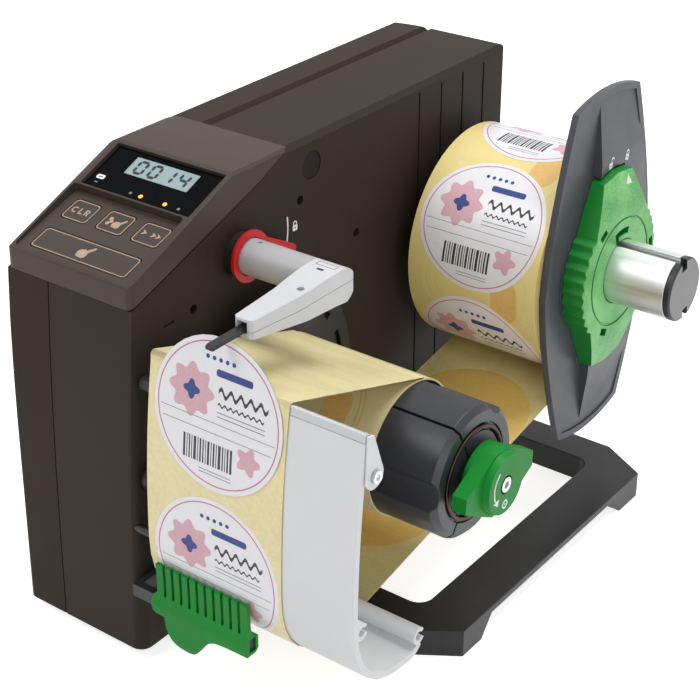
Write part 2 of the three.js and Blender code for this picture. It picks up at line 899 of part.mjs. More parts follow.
function arcBar(radius, width, fromDegrees, toDegrees) {
  const shape = new THREE.Shape();
  shape.absarc(0, 0, radius + width / 2, radians(fromDegrees), radians(toDegrees));
  shape.absarc(0, 0, radius - width / 2, radians(toDegrees), radians(fromDegrees), true);
  const from = rewindFlangeFace - rewindFlangeThickness - overrun;
  return alongX(shape, from, rewindFlangeFace + overrun, 3).translate([0, rewindDepth, rewindHeight]);
}

const drumStart = rewindFlangeFace + seatGap;

// One third of the drum: fluted outside, with an inner lip at the mouth and a groove for the wire ring
function makeSegment(middleAngle) {
  const mouth = drumEnd - segmentMouthDepth;
  const whole = turnedX([
    [segmentInnerRadius, drumStart], [drumRadius, drumStart],
    [drumRadius, drumEnd - drumEdge], [drumRadius - drumEdge, drumEnd],
    [wireRingRadius + 2 * wireRadius, drumEnd],
    [wireRingRadius + 2 * wireRadius, drumEnd - wireGrooveDepth],
    [wireRingRadius - 2 * wireRadius, drumEnd - wireGrooveDepth],
    [wireRingRadius - 2 * wireRadius, drumEnd],
    [segmentMouthRadius, drumEnd], [segmentMouthRadius, mouth], [segmentInnerRadius, mouth],
  ], 0, 0, 48);
  const reach = 2 * drumRadius;
  const halfThird = 60;
  const fan = [[0, 0], polar(reach, -halfThird), polar(reach, 0), polar(reach, halfThird)];
  const sector = alongX(polygon(fan),
    0, drumEnd + overrun);
  const halfSplit = segmentGap / 2 / Math.sin(radians(halfThird));
  const flute = rodX(fluteRadius, -overrun, drumEnd + overrun, drumRadius + fluteRadius - fluteDepth, 0, 32);
  const third = cut(common(whole, sector.translate([0, halfSplit, 0])), flute);
  return third.rotate([middleAngle, 0, 0]).translate([0, rewindDepth, rewindHeight]);
}

function makeWireRing() {
  const ring = new THREE.TorusGeometry(wireRingRadius, wireRadius, 6, 32).rotateY(Math.PI / 2);
  const seat = drumEnd - wireGrooveDepth + wireRadius + seatGap;
  return solid(ring.translate(seat, rewindDepth, rewindHeight));
}

// Two thumb wings stand out of the knob's waist, lower than its face
function knobWings() {
  const end = knobStart + knobLength;
  const reach = knobWingReach;
  const outline = polygon([
    [reach, -knobWingTip], [reach, knobWingTip], [knobWingWaist, knobWingShoulder],
    [-knobWingWaist, knobWingShoulder], [-reach, knobWingTip], [-reach, -knobWingTip],
    [-knobWingWaist, -knobWingShoulder], [knobWingWaist, -knobWingShoulder],
  ]);
  const rim = reach + overrun;
  const front = turnedX([
    [0, knobStart], [rim, knobStart], [rim, knobStart + knobWingFront],
    [knobFaceFoot, knobStart + knobWingFront], [knobFaceRadius, end], [0, end],
  ], 0, 0, 36);
  return common(alongX(outline, knobStart + knobWingRise, end), front);
}

function makeKnob() {
  const end = knobStart + knobLength;
  const body = turnedX([
    [0, knobStart], [knobFootRadius, knobStart], [knobFootRadius, end - 2 * drumEdge],
    [knobFaceFoot, knobStart + knobWingFront], [knobFaceRadius, end - drumEdge / 2],
    [knobFaceRadius - drumEdge / 2, end], [0, end],
  ], 0, 0, 36);
  const camPoints = [];
  const camSteps = 36;
  for (let i = 0; i < camSteps; i++) {
    const angle = (i * 360) / camSteps;
    const lift = Math.cos(3 * radians(angle - segmentAngle));
    camPoints.push(polar(camRadius + camDepth * lift, angle));
  }
  const cam = alongX(polygon(camPoints), drumEnd - segmentMouthDepth + seatGap, knobStart + overrun);
  const bore = rodX(knobScrewShank + seatGap, -overrun, end + overrun, 0, 0, 16);
  const counterbore = rodX(knobScrewRadius + knobBoreWall, end - knobScrewSink, end + overrun, 0, 0, 20);
  const winged = joined(body, knobWings().rotate([knobWingAngle, 0, 0]), cam);
  return cut(winged, bore, counterbore).translate([0, rewindDepth, rewindHeight]);
}

function makeKnobScrew() {
  const seat = knobStart + knobLength - knobScrewSink + seatGap;
  const head = rodX(knobScrewRadius, seat, seat + knobScrewSink, rewindDepth, rewindHeight, 20);
  const shank = rodX(knobScrewShank, coreEnd - knobScrewRadius, seat + seatGap,
    rewindDepth, rewindHeight, 16);
  const socket = rodX(knobScrewRadius / 2, seat + seatGap, seat + 2 * knobScrewSink,
    rewindDepth, rewindHeight, 6);
  return cut(joined(head, shank), socket);
}

const coreEnd = drumEnd - segmentMouthDepth - seatGap;

function makeRewindCore() {
  return ringX(rewindShaftRadius + seatGap, drumCoreRadius, drumStart, coreEnd,
    rewindDepth, rewindHeight, 28);
}

function makeRewindShaft() {
  const shaft = rodX(rewindShaftRadius, -pulleyFace - pulleyWidth - overrun, coreEnd,
    rewindDepth, rewindHeight);
  return cut(shaft, rodX(knobScrewShank + seatGap, coreEnd - 2 * knobScrewRadius, coreEnd + overrun,
    rewindDepth, rewindHeight, 16));
}

const woundInner = drumRadius + seatGap;
const woundOuter = woundInner + woundThickness;

function makeRewinder() {
  place('rewind_shaft', makeRewindShaft(), brightSteel);
  place('rewind_flange', makeRewindFlange(), drumPlastic);
  place('rewind_core', makeRewindCore(), blackPlastic);
  ['a', 'b', 'c'].forEach((letter, i) => {
    place(`drum_segment_${letter}`, makeSegment(segmentAngle + i * 120), drumPlastic);
  });
  place('wire_ring', makeWireRing(), springWire);
  place('rewind_knob', makeKnob(), greenPlastic);
  place('knob_screw', makeKnobScrew(), brightSteel);
  place('wound_liner', ringX(woundInner, woundOuter, webStart, webEnd,
    rewindDepth, rewindHeight, 48), linerPaper);
}

// Supply axle and roll

function makeAxle() {
  const tube = ringX(axleBore, axleRadius, -axleTail, axleEnd, supplyDepth, supplyHeight, 40);
  const top = supplyHeight + axleRadius;
  const mouth = box(-axleTail - overrun, axleEnd + overrun,
    supplyDepth - tSlotMouth / 2, supplyDepth + tSlotMouth / 2, top - tSlotDepth, top + overrun);
  const wide = box(-axleTail - overrun, axleEnd + overrun,
    supplyDepth - tSlotWidth / 2, supplyDepth + tSlotWidth / 2, top - tSlotDepth, top - tSlotLip);
  return turnedAbout(cut(tube, mouth, wide), tSlotTurn, supplyDepth, supplyHeight);
}

function makeAxleCap() {
  const start = axleEnd + seatGap;
  const end = start + capThickness;
  const cap = turnedX([
    [0, start], [axleRadius, start], [axleRadius, end - capThickness / 4],
    [axleRadius - capThickness / 4, end], [0, end],
  ], supplyDepth, supplyHeight, 40);
  const notches = [1, -1].map((side) => {
    const rim = supplyHeight + side * axleRadius;
    return box(start - overrun, end + overrun,
      supplyDepth - capNotchWidth / 2, supplyDepth + capNotchWidth / 2,
      Math.min(rim, rim - side * capNotchDepth) - (side < 0 ? overrun : 0),
      Math.max(rim, rim - side * capNotchDepth) + (side > 0 ? overrun : 0));
  });
  return turnedAbout(cut(cap, ...notches), tSlotTurn, supplyDepth, supplyHeight);
}

const coreInner = axleRadius + runGap;
const coreOuter = coreInner + coreWall;

function makeSupply() {
  place('supply_axle', makeAxle(), satinAluminium);
  place('axle_cap', makeAxleCap(), blackPlastic);
  place('roll_core', ringX(coreInner, coreOuter, webStart - seatGap, webEnd + seatGap,
    supplyDepth, supplyHeight, 40), cardboard);
  place('label_roll', ringX(coreOuter + seatGap, rollRadius, webStart, webEnd,
    supplyDepth, supplyHeight, 64), rollPaper);
  place('brake_disc', ringX(axleRadius + seatGap, brakeRadius, -axleTail, -axleTail + brakeThickness,
    supplyDepth, supplyHeight, 32), darkSteel);
}

// Blade flange

// The blade: two broad tips on a swelling waist
function bladeOutline(inset) {
  const reach = bladeReach - inset;
  const tip = bladeTipHalfWidth - inset;
  const tipHeight = Math.sqrt(reach * reach - tip * tip);
  const tipAngle = Math.asin(tip / reach);
  const side = bladeHalfWidth - inset;
  const swell = bladeSwellX - inset;
  const shape = new THREE.Shape();
  shape.absarc(0, 0, reach, Math.PI / 2 - tipAngle, Math.PI / 2 + tipAngle);
  shape.quadraticCurveTo(-swell, bladeSwellZ, -side, 0);
  shape.quadraticCurveTo(-swell, -bladeSwellZ, -tip, -tipHeight);
  shape.absarc(0, 0, reach, -Math.PI / 2 - tipAngle, -Math.PI / 2 + tipAngle);
  shape.quadraticCurveTo(swell, -bladeSwellZ, side, 0);
  shape.quadraticCurveTo(swell, bladeSwellZ, tip, tipHeight);
  return shape;
}

// A raised face that climbs from the tip to the hub. It ends on one side in a straight wall
// and falls away to the rim on the other.
function bladeWedge() {
  const face = bladeStart + bladePlate;
  const dish = face - bladeRimDepth;
  const hubEdge = hubEarReach + runGap;
  const block = new THREE.BoxGeometry(1, 1, 1, 1, 1, bladeWedgeSteps).translate(0.5, 0.5, 0.5);
  const corners = block.getAttribute('position');
  for (let i = 0; i < corners.count; i++) {
    const height = corners.getZ(i) * bladeWedgeTip;
    const climb = Math.min((bladeWedgeTip - height) / (bladeWedgeTip - hubEdge), 1);
    const wall = bladeWallAtTip + (bladeWallAtHub - bladeWallAtTip) * climb;
    const across = corners.getY(i);
    const rise = climb * (bladeRimDepth + bladeWedgeHeight * (1 - across));
    const top = dish + rise + (climb === 0 ? weldDistance : 0);
    corners.setXYZ(i, corners.getX(i) > 0 ? top : bladeStart + bladePlate / 2,
      wall + (bladeHalfWidth - wall) * across, height);
  }
  const outline = alongX(bladeOutline(bladeRimWidth - seatGap), bladeStart, face + 2 * bladeWedgeHeight, 6);
  return common(solid(block), outline);
}

// The room that the hub needs as it turns from locked to free
function hubSweep(from, to) {
  const positions = [];
  for (let i = 0; i <= hubUnlockSteps; i++) {
    const turn = (i * hubUnlockTurn) / hubUnlockSteps;
    positions.push(hubBlank(runGap + hubWaveDepth, from, to).rotate([turn, 0, 0]));
  }
  return joined(...positions);
}

function makeBlade() {
  const face = bladeStart + bladePlate;
  const plate = alongX(bladeOutline(0), bladeStart, face, 6);
  const dish = cut(
    alongX(bladeOutline(bladeRimWidth), face - bladeRimDepth, face + overrun, 6),
    hubBlank(runGap + hubWaveDepth, bladeStart, face + 2 * overrun));
  const wedge = bladeWedge();
  const raised = cut(joined(wedge, wedge.mirror([0, 0, 1])), hubSweep(face, face + 2 * bladeWedgeHeight));
  const blade = joined(cut(plate, dish), raised);
  const bore = rodX(axleRadius + runGap, bladeStart - overrun, face + bladeWedgeHeight + overrun, 0, 0, 40);
  return cut(blade, bore).translate([0, supplyDepth, supplyHeight]);
}

// The hub's outline: a scalloped circle with two ears, each with flaring sides
function hubOutline(margin, scalloped) {
  const rim = hubRadius + margin;
  const reach = hubEarReach + margin;
  const half = hubEarHalfWidth + margin;
  const earTurn = Math.asin(half / reach) / Math.PI * 180;
  const points = [];
  for (const middle of [90, 270]) {
    points.push(polar(reach, middle - earTurn), polar(reach, middle), polar(reach, middle + earTurn));
    const steps = hubWaveCount * (scalloped ? hubWaveSteps : 2);
    for (let i = 0; i <= steps; i++) {
      const angle = middle + hubEarTurn + (i / steps) * (180 - 2 * hubEarTurn);
      const wave = scalloped ? hubWaveDepth * Math.cos((2 * Math.PI * i) / hubWaveSteps) : 0;
      points.push(polar(rim + wave, angle));
    }
  }
  return polygon(points);
}

function hubBlank(margin, from, to) {
  return alongX(hubOutline(margin, false), from, to);
}

// The hub's face is flat in the middle and falls away toward the ears' tips
function makeHub() {
  const start = bladeStart + bladePlate + seatGap;
  const face = start + hubLength;
  const reach = hubEarReach + overrun;
  const envelope = turnedX([
    [0, start], [reach, start], [reach, face - hubEarDrop], [hubRadius - hubEdgeIn, face], [0, face],
  ], 0, 0, 48);
  const knurled = alongX(hubOutline(0, true), start, face + overrun);
  const groove = ringX(hubBossRadius, hubBossRadius + hubGrooveWidth,
    face - hubBossRise, face + overrun, 0, 0, 40);
  const pockets = hubPocketAngles.map((angle) =>
    box(face - hubPocketDepth, face + overrun,
      hubPocketRadius - hubPocketWidth / 2, hubPocketRadius + hubPocketWidth / 2,
      -hubPocketLength / 2, hubPocketLength / 2).rotate([angle, 0, 0]));
  const bore = rodX(axleRadius + runGap, bladeStart, face + overrun, 0, 0, 40);
  return cut(common(envelope, knurled), bore, groove, hubCatch(face), ...pockets)
    .translate([0, supplyDepth, supplyHeight]);
}

// A bent slot that frees a springy catch beside the bore
function hubCatch(face) {
  const arc = new THREE.Shape();
  arc.absarc(0, 0, hubCatchOuter, radians(hubCatchFrom), radians(hubCatchTo));
  arc.absarc(0, 0, hubCatchInner, radians(hubCatchTo), radians(hubCatchFrom), true);
  const middle = (hubCatchInner + hubCatchOuter) / 2;
  const mouth = polygon([
    polar(axleRadius, hubCatchMouth), polar(middle, hubCatchMouth),
    polar(middle, hubCatchTo), polar(axleRadius, hubCatchTo),
  ]);
  const low = face - hubPocketDepth;
  return joined(alongX(arc, low, face + overrun, 5), alongX(mouth, low, face + overrun));
}

const hubPocketAngles = [127, 246, 7];

// Sensor arm

function sensorSpot(depthOffset, heightOffset) {
  return [sensorDepth + depthOffset, sensorHeight + heightOffset];
}

function armBody() {
  const tip = sensorDepth - armReach;
  const nearTube = sensorDepth - sensorTubeRadius;
  const plan = polygon([
    [knuckleStart, sensorDepth + sensorTubeRadius], [knuckleStart, nearTube],
    [knuckleStart + armEdge, nearTube - armReach * armTaperShare],
    [knuckleEnd - armTipWidth, tip + armEdge], [knuckleEnd - armTipWidth + armEdge, tip],
    [knuckleEnd - armEdge, tip], [knuckleEnd, tip + armEdge],
    [knuckleEnd, sensorDepth + sensorTubeRadius - armEdge],
    [knuckleEnd - armEdge, sensorDepth + sensorTubeRadius],
  ]);
  const side = new THREE.Shape();
  side.moveTo(tip, sensorHeight + armTipTop);
  side.lineTo(tip, sensorHeight + armTipBottom);
  side.lineTo(...sensorSpot(-armReach * armBellyShare, -armBellyDrop));
  side.lineTo(...sensorSpot(-sensorTubeRadius / 2, -armBellyDrop - armEdge));
  side.absarc(sensorDepth, sensorHeight, sensorTubeRadius, -radians(armBackTurn), Math.PI / 2);
  side.lineTo(...sensorSpot(-armReach / 2, armTipTop - armEdge));
  const wide = [knuckleStart - overrun, knuckleEnd + overrun];
  return common(
    alongX(side, ...wide, 8),
    alongZ(plan, sensorHeight - 2 * sensorTubeRadius, sensorHeight + 2 * sensorTubeRadius));
}

const probeAcross = knuckleEnd - probeSide;
const armTipDepth = sensorDepth - armReach;

function probeBlock(margin) {
  const low = sensorHeight + probeHeight - probeThickness / 2 - margin;
  return box(probeAcross - probeWidth / 2 - margin, probeAcross + probeWidth / 2 + margin,
    armTipDepth - probeTip, armTipDepth + probeTail + margin, low, low + probeThickness + 2 * margin);
}

// The two halves meet on a seam that rises toward the tip
function armHalf(upper) {
  const gap = upper ? seatGap / 2 : -seatGap / 2;
  const edge = sensorHeight + armSplit + gap;
  const far = upper ? housingTop * 2 : 0;
  const half = alongX(polygon([
    [armTipDepth - overrun, edge + armSplitRise], [sensorDepth - armReach / 2, edge],
    [sensorDepth + 2 * sensorTubeRadius, edge], [sensorDepth + 2 * sensorTubeRadius, far],
    [armTipDepth - overrun, far],
  ]), 0, 2 * knuckleEnd);
  const screwHole = solid(new THREE.CylinderGeometry(armScrewRadius + seatGap, armScrewRadius + seatGap,
    armScrewReach() + overrun, 12).rotateX(Math.PI / 2)
    .translate(armScrewAcross, sensorDepth - armScrewDepth,
      armScrewTop() - (armScrewReach() - overrun) / 2));
  const pivotEnd = knuckleStart + armPivotLength + seatGap;
  const pivot = rodX(armPivotRadius + seatGap, knuckleStart - overrun, pivotEnd,
    sensorDepth, sensorHeight);
  return cut(common(armBody(), half), pivot, probeBlock(seatGap), armMouth(), screwHole);
}

// The dark opening at the arm's tip, round the probe
function armMouth() {
  return box(knuckleEnd - armMouthFar, knuckleEnd - armMouthNear,
    armTipDepth - overrun, armTipDepth + armMouthDepth,
    sensorHeight + probeHeight - probeThickness / 2 - seatGap, sensorHeight + armMouthTop);
}

const armScrewAcross = knuckleEnd - armScrewInset;

function armScrewTop() {
  return sensorHeight + armTipTop - armEdge;
}

function armScrewReach() {
  return armTipTop - armSplit + armBellyDrop / 2;
}

function makeArmScrew() {
  const length = armScrewReach() - armScrewSink;
  return solid(new THREE.CylinderGeometry(armScrewRadius, armScrewRadius, length, 12).rotateX(Math.PI / 2)
    .translate(armScrewAcross, sensorDepth - armScrewDepth,
      armScrewTop() - armScrewSink + seatGap - length / 2));
}

function makeProbe() {
  const tip = armTipDepth - probeTip;
  const low = sensorHeight + probeHeight - probeThickness / 2;
  const nose = probeThickness / 2;
  const side = polygon([
    [tip + nose, low], [armTipDepth + probeTail, low], [armTipDepth + probeTail, low + probeThickness],
    [tip + 2 * nose, low + probeThickness], [tip, low + nose],
  ]);
  const near = probeAcross + probeWidth / 2;
  const far = probeAcross - probeWidth / 2;
  const plan = polygon([
    [far, tip + nose], [far + nose, tip], [near - nose, tip], [near, tip + nose],
    [near, armTipDepth + probeTail], [far, armTipDepth + probeTail],
  ]);
  return common(alongX(side, far, near), alongZ(plan, low, low + probeThickness));
}

function makeSensorTube() {
  const tube = ringX(sensorTubeRadius - sensorTubeWall, sensorTubeRadius,
    -sensorTail, knuckleStart - seatGap, sensorDepth, sensorHeight, 28);
  const plug = rodX(sensorTubeRadius - sensorTubeWall / 2, knuckleStart - 2 * armPivotRadius,
    knuckleStart - seatGap, sensorDepth, sensorHeight);
  const pivot = rodX(armPivotRadius, knuckleStart - armPivotRadius, knuckleStart + armPivotLength,
    sensorDepth, sensorHeight);
  const hole = solid(new THREE.CylinderGeometry(tubeHoleRadius, tubeHoleRadius, 2 * sensorTubeRadius, 12)
    .rotateX(Math.PI / 2).translate(tubeHolePlace, sensorDepth, sensorHeight + sensorTubeRadius));
  return joined(cut(tube, hole), plug, pivot);
}

function makeCollar() {
  const end = collarStart + collarLength;
  const ring = ringX(sensorTubeRadius + runGap, collarRadius, collarStart, end, 0, 0, 32);
  const root = sensorTubeRadius + armEdge;
  const lever = polygon([
    [root, -leverRootHalf], [leverReach - armEdge, -leverTipHalf], [leverReach, -leverTipHalf + armEdge],
    [leverReach, leverTipHalf - armEdge], [leverReach - armEdge, leverTipHalf], [root, leverRootHalf],
  ]);
  const bore = rodX(sensorTubeRadius + runGap, collarStart - overrun, end + overrun, 0, 0, 32);
  const arm = alongX(lever, collarStart, end).rotate([leverAngle, 0, 0]);
  return cut(joined(ring, arm), bore).translate([0, sensorDepth, sensorHeight]);
}

function makeSensor() {
  place('sensor_collar', makeCollar(), redPlastic);
  place('sensor_tube', makeSensorTube(), satinAluminium);
  place('sensor_arm_upper', armHalf(true), silverPaint);
  place('sensor_arm_lower', armHalf(false), silverPaint);
  place('sensor_probe', makeProbe(), blackPlastic);
  place('arm_screw', makeArmScrew(), darkSteel);
}

// Dispensing plate

// The plate's outer face from its top edge down the bowed front and round to the rear lip
function plateFace() {
  const face = new THREE.Path();
  const belly = plateBellyHeight - plateFloor;
  const run = plateFloorDepth - plateBelly;
  face.moveTo(plateTopDepth, plateTop);
  face.quadraticCurveTo(plateBelly, plateBendHeight, plateBelly, plateBellyHeight);
  face.bezierCurveTo(
    plateBelly, plateBellyHeight - plateRoundShare * belly,
    plateFloorDepth - plateRoundShare * run, plateFloor,
    plateFloorDepth, plateFloor);
  face.quadraticCurveTo(plateLip - (plateLip - plateFloorDepth) / 3, plateFloor, plateLip, plateLipHeight);
  return face.getPoints(8);
}

// Moves a path sideways: positive distances go out from the plate's face
function offsetPath(points, distance) {
  return points.map((point, i) => {
    const before = points[Math.max(i - 1, 0)];
    const after = points[Math.min(i + 1, points.length - 1)];
    const along = new THREE.Vector2().subVectors(after, before).normalize();
    return new THREE.Vector2(point.x + along.y * distance, point.y - along.x * distance);
  });
}

function ribbon(points, inner, outer) {
  const near = offsetPath(points, inner);
  const far = offsetPath(points, outer);
  return new THREE.Shape([...far, ...near.reverse()]);
}

function bossCentres() {
  const [front, rear] = [plateFace(), plateFace()].map((face, i) => {
    const target = i === 0 ? frontBossHeight : plateLipHeight;
    const candidates = face.filter((point) => (i === 0 ? point.x < 0 : point.x > plateFloorDepth));
    return candidates.sort((a, b) => Math.abs(a.y - target) - Math.abs(b.y - target))[0];
  });
  return [
    [front.x + plateThickness / 2 + bossRadius, frontBossHeight],
    [rear.x - plateThickness / 2, rear.y + plateThickness + bossRadius / 2],
  ];
}

function boss([depth, height]) {
  return rodX(bossRadius, plateStart, plateEnd, depth, height, 20);
}

function bossBoreCutter([depth, height]) {
  const half = bossMouth / 2;
  const mouth = polygon([[0, 0], polar(2 * bossRadius, -half), polar(2 * bossRadius, half)]);
  const from = plateStart - overrun;
  const to = plateEnd + overrun;
  return joined(rodX(bossBore, from, to, depth, height, 16),
    alongX(mouth, from, to).translate([0, depth, height]));
}

function makePlate() {
  const sheet = alongX(ribbon(plateFace(), -plateThickness, 0), plateStart, plateEnd);
  const bosses = bossCentres();
  return cut(joined(sheet, ...bosses.map(boss)), ...bosses.map(bossBoreCutter));
}

function makeStud([depth, height]) {
  return rodX(studRadius, -studTail, plateStart + studReach, depth, height, 16);
}

// The strip sits on the plate's top edge and carries the rounded nose that the liner folds over
function makePeelStrip() {
  const low = plateTop + seatGap;
  const high = plateTop + stripHeight;
  const strip = polygon([
    [plateTopDepth, low], [plateTopDepth + stripDepth, low],
    [plateTopDepth + stripDepth, high - stripHeight / 2], [peelNoseDepth + linerFold, high],
    [peelNoseDepth, high - linerFold / 2],
  ]);
  return alongX(strip, plateStart, plateEnd);
}

function bracketOutline() {
  const head = plateTop + stripHeight;
  const swell = bracketScrewHead * 2;
  const shape = new THREE.Shape();
  shape.moveTo(rodDepth - swell, rodHeight - swell / 4);
  shape.lineTo(plateTopDepth + bracketThickness, head - bracketThickness);
  shape.lineTo(plateTopDepth + stripDepth, head - 2 * bracketThickness);
  const [flareDepth, flareHeight] = polar(swell, bracketFlareTurn);
  shape.lineTo(rodDepth + flareDepth, rodHeight + flareHeight);
  shape.absarc(rodDepth, rodHeight, swell, radians(bracketFlareTurn), -radians(bracketFootTurn), true);
  return shape;
}

function makeBracket() {
  const start = plateEnd + seatGap;
  const sheet = alongX(bracketOutline(), start, start + bracketThickness, 8);
  return cut(sheet, rodX(bracketScrewShank + seatGap, start - overrun, start + bracketThickness + overrun,
    rodDepth, rodHeight, 16));
}

function makeSupportRod() {
  const rod = rodX(rodRadius, seatGap, plateEnd, rodDepth, rodHeight, 20);
  const bore = rodX(bracketScrewShank + seatGap, plateEnd - bracketScrewLength - overrun, plateEnd + overrun,
    rodDepth, rodHeight, 16);
  return cut(rod, bore);
}

function makeBracketScrew() {
  const seat = plateEnd + 2 * seatGap + bracketThickness;
  const head = rodX(bracketScrewHead, seat, seat + bracketScrewHeadLength, rodDepth, rodHeight, 20);
  const shank = rodX(bracketScrewShank, plateEnd - bracketScrewLength, seat + seatGap,
    rodDepth, rodHeight, 16);
  const socket = rodX(bracketScrewHead / 2, seat + bracketScrewHeadLength / 2,
    seat + bracketScrewHeadLength + overrun, rodDepth, rodHeight, 6);
  return cut(joined(head, shank), socket);
}

// Liner web

// The point where a line from outside touches a circle, passing below it (-1) or above it (+1)
function tangentPoint(from, centre, radius, side) {
  const toCentre = new THREE.Vector2().subVectors(centre, from);
  const distance = toCentre.length();
  const angle = toCentre.angle() + side * Math.asin(radius / distance);
  const length = Math.sqrt(distance * distance - radius * radius);
  return new THREE.Vector2(from.x + length * Math.cos(angle), from.y + length * Math.sin(angle));
}

function linerPath() {
  const clear = seatGap + linerThickness / 2;
  const rollCentre = new THREE.Vector2(supplyDepth, supplyHeight);
  const drumCentre = new THREE.Vector2(rewindDepth, rewindHeight);
  const rise = offsetPath(plateFace(), clear);
  const leaves = rise.findIndex((point, i) => {
    if (point.x < plateFloorDepth / 2 || i === rise.length - 1) return i === rise.length - 1;
    const target = tangentPoint(point, rollCentre, rollRadius + clear, -1);
    const toTarget = new THREE.Vector2().subVectors(target, point);
    const along = new THREE.Vector2().subVectors(rise[i + 1], point);
    return along.cross(toTarget) < 0;
  });
  const wrapped = rise.slice(0, leaves + 1).reverse();
  const start = tangentPoint(wrapped[0], rollCentre, rollRadius + clear, -1);
  const nose = new THREE.Vector2(peelNoseDepth + linerFold, plateTop + stripHeight - linerFold);
  const foldRadius = linerFold + clear + linerThickness;
  const end = tangentPoint(nose, drumCentre, woundOuter + clear, 1);
  const fall = Math.atan2(end.y - nose.y, end.x - nose.x);
  const fold = [];
  const foldSteps = 5;
  for (let i = 0; i <= foldSteps; i++) {
    const angle = Math.PI + (i / foldSteps) * (fall + Math.PI / 2 - Math.PI);
    const reach = new THREE.Vector2(Math.cos(angle), Math.sin(angle)).multiplyScalar(foldRadius);
    fold.push(reach.add(nose));
  }
  return [start, ...wrapped, ...fold, end];
}

function makeLiner() {
  const shape = ribbon(linerPath(), -linerThickness / 2, linerThickness / 2);
  return alongX(shape, webStart, webEnd);
}

// The label rides on the web to the nose and stands on past it
function makePeeledLabel() {
  const clear = 2 * seatGap + linerThickness;
  const rise = offsetPath(plateFace(), clear)
    .filter((point) => point.y > labelFoot - labelRadius / 2 && point.x < 0);
  const [first, second] = rise;
  const along = new THREE.Vector2().subVectors(first, second).normalize();
  const standing = new THREE.Vector2(first.x + along.x * labelRadius, first.y + along.y * labelRadius);
  const sheet = alongX(ribbon([standing, ...rise], 0, labelThickness), 0, 2 * webEnd);
  const disc = solid(new THREE.CylinderGeometry(labelRadius, labelRadius, 4 * labelRadius, 40)
    .translate(labelCentre, 0, labelFoot + labelRadius));
  return common(sheet, disc);
}

function makeDispenser() {
  place('dispense_plate', makePlate(), platePaint);
  const [frontStud, rearStud] = bossCentres();
  place('plate_stud_front', makeStud(frontStud), darkSteel);
  place('plate_stud_rear', makeStud(rearStud), darkSteel);
  place('peel_strip', makePeelStrip(), satinAluminium);
  place('support_rod', makeSupportRod(), darkSteel);
  place('side_bracket', makeBracket(), satinAluminium);
  place('bracket_screw', makeBracketScrew(), brightSteel);
  place('liner_web', makeLiner(), linerPaper);
  place('peeled_label', makePeeledLabel(), labelPaper);
}

// Comb guide

function makeGuideBar() {
  const bar = box(barArmThickness + seatGap, barEnd, barDepth - barWidth / 2, barDepth + barWidth / 2,
    barHeight - barTall / 2, barHeight + barTall / 2);
  const arm = box(seatGap, barArmThickness + 2 * seatGap, barDepth - barWidth / 2, barDepth + barArmReach,
    barHeight - barTall / 2, barHeight + barTall / 2);
  return joined(bar, arm);
}

// Side view of the comb: fingers before the web, a sleeve that swells round the bar and a thumb tongue
function combSide() {
  const front = barDepth - barWidth / 2 - seatGap - combSleeve;
  const back = barDepth + barWidth / 2 + seatGap + combSleeve;
  const high = barHeight + barTall / 2 + combSleeve;
  const low = barHeight - barTall / 2 - combSleeve;
  const fingerBack = combTipDepth + combThickness;
  const tongueFront = front + combLean;
  const shape = new THREE.Shape();
  shape.moveTo(combTipDepth, combTop);
  shape.quadraticCurveTo(combTipDepth + combLean, high + combSleeve, front, barHeight);
  shape.quadraticCurveTo(front, low, tongueFront, combFoot);
  shape.lineTo(tongueFront + combThickness, combFoot);
  shape.quadraticCurveTo(tongueFront + combThickness, low - combSleeve, back, low + combSleeve);
  shape.lineTo(back, high - combSleeve);
  shape.quadraticCurveTo(fingerBack + combLean, high, fingerBack + combLean, high + 2 * combSleeve);
  shape.lineTo(fingerBack, combTop);
  return shape;
}

// Front view of the comb, with a rounded ear on its left and the thumb tongue below
function combFront() {
  const left = combStart;
  const right = combStart + combWidth;
  const ear = combStart - combEar;
  const low = barHeight - barTall / 2 - combSleeve;
  const tongueLeft = combTongueCentre - combTongueWidth / 2;
  const tongueRight = combTongueCentre + combTongueWidth / 2;
  const shape = new THREE.Shape();
  shape.moveTo(left, combTop + overrun);
  shape.lineTo(left, barHeight + barTall);
  shape.quadraticCurveTo(ear, barHeight + barTall * combEarShare, ear, barHeight);
  shape.quadraticCurveTo(ear, low, left, low);
  shape.lineTo(tongueLeft, low);
  shape.bezierCurveTo(tongueLeft, combFoot, tongueLeft + combTongueWidth / 4, combFoot,
    combTongueCentre, combFoot);
  shape.bezierCurveTo(combTongueCentre + combTongueWidth / 5, combFoot,
    combTongueCentre + combTongueWidth / 4, low - combEar, tongueRight, low - combEar / 3);
  shape.quadraticCurveTo(tongueRight + combEar, low, right, low);
  shape.lineTo(right, combTop + overrun);
  return shape;
}

function makeComb() {
  const left = combStart - combEar - overrun;
  const right = combStart + combWidth + overrun;
  const body = common(
    alongX(combSide(), left, right, 5),
    alongY(combFront(), barDepth - housingTop, barDepth + housingTop, 7));
  const slots = [];
  const slotPitch = combWidth / (combSlotCount + 1);
  for (let i = 1; i <= combSlotCount; i++) {
    const middle = combStart + i * slotPitch;
    slots.push(box(middle - combSlotWidth / 2, middle + combSlotWidth / 2, barDepth - 2 * combSlotLength, 0,
      combTop - combSlotLength, combTop + overrun));
  }
  return cut(body, ...slots, combTube(seatGap, left, right));
}

// A square length round the guide bar, larger than it by the margin
function combTube(margin, from, to) {
  return box(from, to, barDepth - barWidth / 2 - margin, barDepth + barWidth / 2 + margin,
    barHeight - barTall / 2 - margin, barHeight + barTall / 2 + margin);
}

// Foot frame

